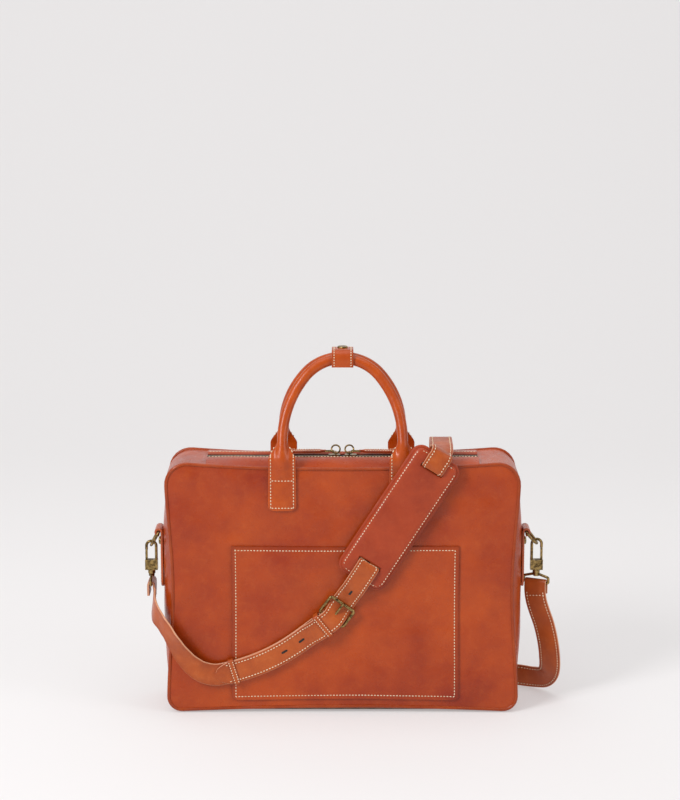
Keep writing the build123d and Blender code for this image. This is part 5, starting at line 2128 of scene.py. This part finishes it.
@dataclass
class Inside:
    """The cloth lining and the padded laptop divider."""

    lining_half: tuple[float, float] = (194.0 * MM, 36.2 * MM)
    lining_low: float = 6.2 * MM
    lining_high: float = 258.0 * MM
    divider_half: float = 183.0 * MM
    divider_y: float = 10.5 * MM

    def bag_ring(self, shrink: float, z: float, shell: Shell) -> Ring:
        """Returns a level ring of the lining that follows the slack sides.

        Args:
            shrink: Distance inside the lining's face.
            z: Height.
            shell: The slack shape of the case.

        Returns:
            The ring of points.
        """
        half_x = (self.lining_half[0] - shrink - 3.0 * MM) * (
            1.0 - shell.pinch * math.sin(math.pi * z / shell.height) ** 2
        )
        half_y = self.lining_half[1] - shrink
        low_round = max(0.0, 24.0 * MM - z) * 0.8 + max(0.0, z - 258.0 * MM) * 0.4
        ring = []
        for cx, cy, first in ((1, 1, 0.0), (-1, 1, 90.0), (-1, -1, 180.0), (1, -1, 270.0)):
            for angle in spread(first, first + 90.0, 6):
                turn = math.radians(angle)
                x = cx * (half_x - low_round - 6.0 * MM) + 6.0 * MM * math.cos(turn)
                y = cy * (half_y - 6.0 * MM) + 6.0 * MM * math.sin(turn)
                ring.append(Vector((x, y + 0.4 * MM * wobble(x, z, 40.0 * MM, 60.0), z)))
        return ring

    def dress(self, palette: Palette, shell: Shell) -> None:
        """Builds the lining and the divider.

        Args:
            palette: The finishes of the briefcase.
            shell: The slack shape of the case.
        """
        heights = spread(self.lining_low, self.lining_high, 22)
        outer = [self.bag_ring(0.0, z, shell) for z in heights]
        inner = [
            self.bag_ring(0.8 * MM, max(z, self.lining_low + 0.8 * MM), shell)
            for z in reversed(heights)
        ]
        lining = Skin("lining_cloth", outer + inner, palette[Finish.LINING]).build()
        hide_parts("lining")
        rings = []
        for v in spread(0.0, 1.0, 40):
            z = mix(8.0 * MM, 235.4 * MM, v)
            squeeze = 1.0 - shell.pinch * math.sin(math.pi * z / shell.height) ** 2
            row = []
            for u in spread(-1.0, 1.0, 60):
                edge = clamp(min(1.0 - abs(u), (1.0 - abs(2.0 * v - 1.0)) * 0.6) / 0.06)
                channel = abs(math.sin(math.pi * 3.0 * (u + 1.0))) ** 0.3
                y = self.divider_y - mix(1.2, 2.4, edge * channel) * MM
                row.append(Vector((self.divider_half * squeeze * u, y, z)))
            depths = [Vector((0.0, 2.0 * (self.divider_y - point.y), 0.0)) for point in row]
            rings.append(slab_ring(row, depths, 0.6 * MM))
        divider = Skin("divider_padding", rings, palette[Finish.PADDING]).build()
        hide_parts("laptop_divider")
        for piece in (lining, divider):
            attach(piece, "case")
        LOG.info("lining and divider")


# ---------------------------------------------------------------- the whole case


@dataclass
class Case:
    """The leather body: two faces, the gusset, the pocket and their seams."""

    shell: Shell

    def dress(self, palette: Palette) -> None:
        """Builds the case's leather and threads its seams.

        Args:
            palette: The finishes of the briefcase.
        """
        pieces: list[tuple[bpy.types.Object, tuple[str, ...]]] = []
        seam = stitches("case_seam", palette)
        for side, name in ((-1, "front"), (1, "back")):
            face = Face(self.shell, side, name)
            pieces.append((face.panel(palette[Finish.PANEL]), (f"{name}_panel",)))
            pieces.append((face.piping(palette[Finish.TRIM]), (f"{name}_piping",)))
        pieces.append((Gusset(self.shell).build(palette[Finish.PANEL]), ("side_bottom_gusset",)))
        pocket = Pocket(self.shell)
        pieces.append((pocket.leather(palette[Finish.PANEL]), ("front_pocket",)))
        pocket.seam(seam)
        for piece, nodes in pieces:
            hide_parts(*nodes)
        for piece in [piece for piece, _ in pieces] + [seam.build()]:
            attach(piece, "case")
        LOG.info("case: panels, piping, gusset and pocket")


METAL_NODES = (
    "snap_stud",
    "snap_cap",
    "buckle_frame",
    "buckle_tongue",
    *(
        f"{side}_{part}"
        for side in ("left", "right")
        for part in ("slider", "pull_ring", "pull_link", "d_ring", "hook",
            "hook_eye", "gate", "gate_rivet", "chape_rivet",
        )
    ),
)


def dress_castings(nodes: dict[str, bpy.types.Object], palette: Palette) -> None:
    """Gives the metal CAD nodes their brass and the base board its cloth.

    Args:
        nodes: The CAD nodes by name.
        palette: The finishes.
    """
    for name in (*METAL_NODES, "base_board"):
        finish = Finish.LINING if name == "base_board" else Finish.BRASS
        mesh = nodes[name].data
        mesh.materials.clear()
        mesh.materials.append(palette[finish])
    LOG.info("castings: %d nodes", len(METAL_NODES))


@dataclass
class Studio:
    """A pale seamless sweep, soft lights and the camera in front."""

    lens: float = 100.0
    distance: float = 2.405
    elevation: float = 11.5
    target: tuple[float, float, float] = (-0.0028, -0.040, 0.3555)
    paper: str = "#B6B4B4"
    glow: float = 0.36

    def sweep(self) -> None:
        """Builds the floor that curves up into the backdrop."""
        material, tree = blank_material("matte seamless paper")
        place = add(tree, "ShaderNodeTexCoord").outputs["Object"]
        cloud = add(tree, "ShaderNodeTexNoise", {"Vector": place, "Scale": per_size(900.0), "Detail": 1.0})
        tone = add(
            tree,
            "ShaderNodeMixRGB",
            {"Fac": cloud.outputs["Fac"], "Color1": linear(self.paper), "Color2": linear("#B8B6B6")},
        )
        shader = add(
            tree,
            "ShaderNodeBsdfPrincipled",
            {
                "Base Color": tone.outputs["Color"],
                "Roughness": 0.95,
                "Emission Color": linear("#FFFDFD"),
                "Emission Strength": self.glow,
            },
        )
        add(tree, "ShaderNodeOutputMaterial", {"Surface": shader.outputs["BSDF"]})
        profile = [(-4.0, 0.0), (1.2, 0.0)]
        for angle in spread(0.0, 90.0, 16)[1:]:
            turn = math.radians(angle)
            profile.append((1.2 + 1.2 * math.sin(turn), 1.2 - 1.2 * math.cos(turn)))
        profile.append((2.4, 4.5))
        rings = [
            [Vector((x, y, z)) for y, z in profile]
            + [Vector((x, y + 0.05, z - 0.05)) for y, z in reversed(profile)]
            for x in (-4.5, 0.0, 4.5)
        ]
        Skin("paper_sweep", rings, material).build()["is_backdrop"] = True

    def light(
        self,
        name: str,
        place: Sequence[float],
        aim: Sequence[float],
        size: tuple[float, float],
        power: float,
    ) -> None:
        """Adds one soft rectangular light.

        Args:
            name: The light's name.
            place: Where it stands.
            aim: The point that it faces.
            size: Its width and height.
            power: Its power in watts.
        """
        lamp = bpy.data.lights.new(name, "AREA")
        lamp.shape = "RECTANGLE"
        lamp.size, lamp.size_y = size
        lamp.energy = power
        holder = bpy.data.objects.new(name, lamp)
        holder.location = place
        holder.rotation_euler = (Vector(aim) - Vector(place)).to_track_quat("-Z", "Y").to_euler()
        bpy.context.scene.collection.objects.link(holder)

    def build(self) -> None:
        """Sets up the sweep, the lights, the sky and the camera."""
        scene = bpy.context.scene
        self.sweep()
        self.light("overhead_softbox", (0.0, -0.3, 2.6), (0.0, 0.1, 0.0), (2.6, 2.0), 26.0)
        self.light("left_softbox", (-1.7, -1.7, 1.7), (0.0, 0.0, 0.15), (0.8, 1.2), 50.0)
        self.light("right_softbox", (2.3, -1.2, 1.2), (0.0, 0.0, 0.15), (0.9, 1.6), 16.0)
        world = bpy.data.worlds.new("studio_air")
        world.use_nodes = True
        world.node_tree.nodes["Background"].inputs["Color"].default_value = (1.0, 1.0, 1.0, 1.0)
        world.node_tree.nodes["Background"].inputs["Strength"].default_value = 0.4
        scene.world = world
        scene.view_settings.view_transform = "Standard"
        lens = bpy.data.cameras.new("front_camera")
        lens.lens = self.lens
        camera = bpy.data.objects.new("front_camera", lens)
        tilt = math.radians(self.elevation)
        target = Vector(self.target)
        camera.location = target + Vector(
            (0.0, -self.distance * math.cos(tilt), self.distance * math.sin(tilt))
        )
        camera.rotation_euler = (target - camera.location).to_track_quat("-Z", "Y").to_euler()
        scene.collection.objects.link(camera)
        scene.camera = camera
        LOG.info("studio")


def corners(box: Sequence[Sequence[float]]) -> list[list[float]]:
    """Returns a box's corners as plain lists."""
    return [[float(value) for value in corner] for corner in box]


def main() -> None:
    """Builds the briefcase over its frame, piece by piece."""
    logging.basicConfig(level=logging.INFO, format="%(message)s")
    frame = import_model()
    cad_box = corners(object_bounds())
    palette = Palette()
    shell = Shell()
    Studio().build()
    Case(shell).dress(palette)
    Mouth(shell).dress(palette)
    for side in (-1, 1):
        PullTab(side).dress(palette)
        Handle(side).dress(palette)
        Chape(side).dress(palette)
    Wrap().dress(palette)
    Straps().dress(palette)
    Loop("fixed_keeper", "case", (-0.78, -0.62)).dress(palette)
    Loop("sliding_keeper", "sliding_keeper", (-0.957, -0.29)).dress(palette)
    Pad().dress(palette)
    Inside().dress(palette, shell)
    dress_castings(frame["nodes"], palette)
    {"cad": cad_box, "visual": corners(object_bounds())}


if __name__ == "__main__":
    main()
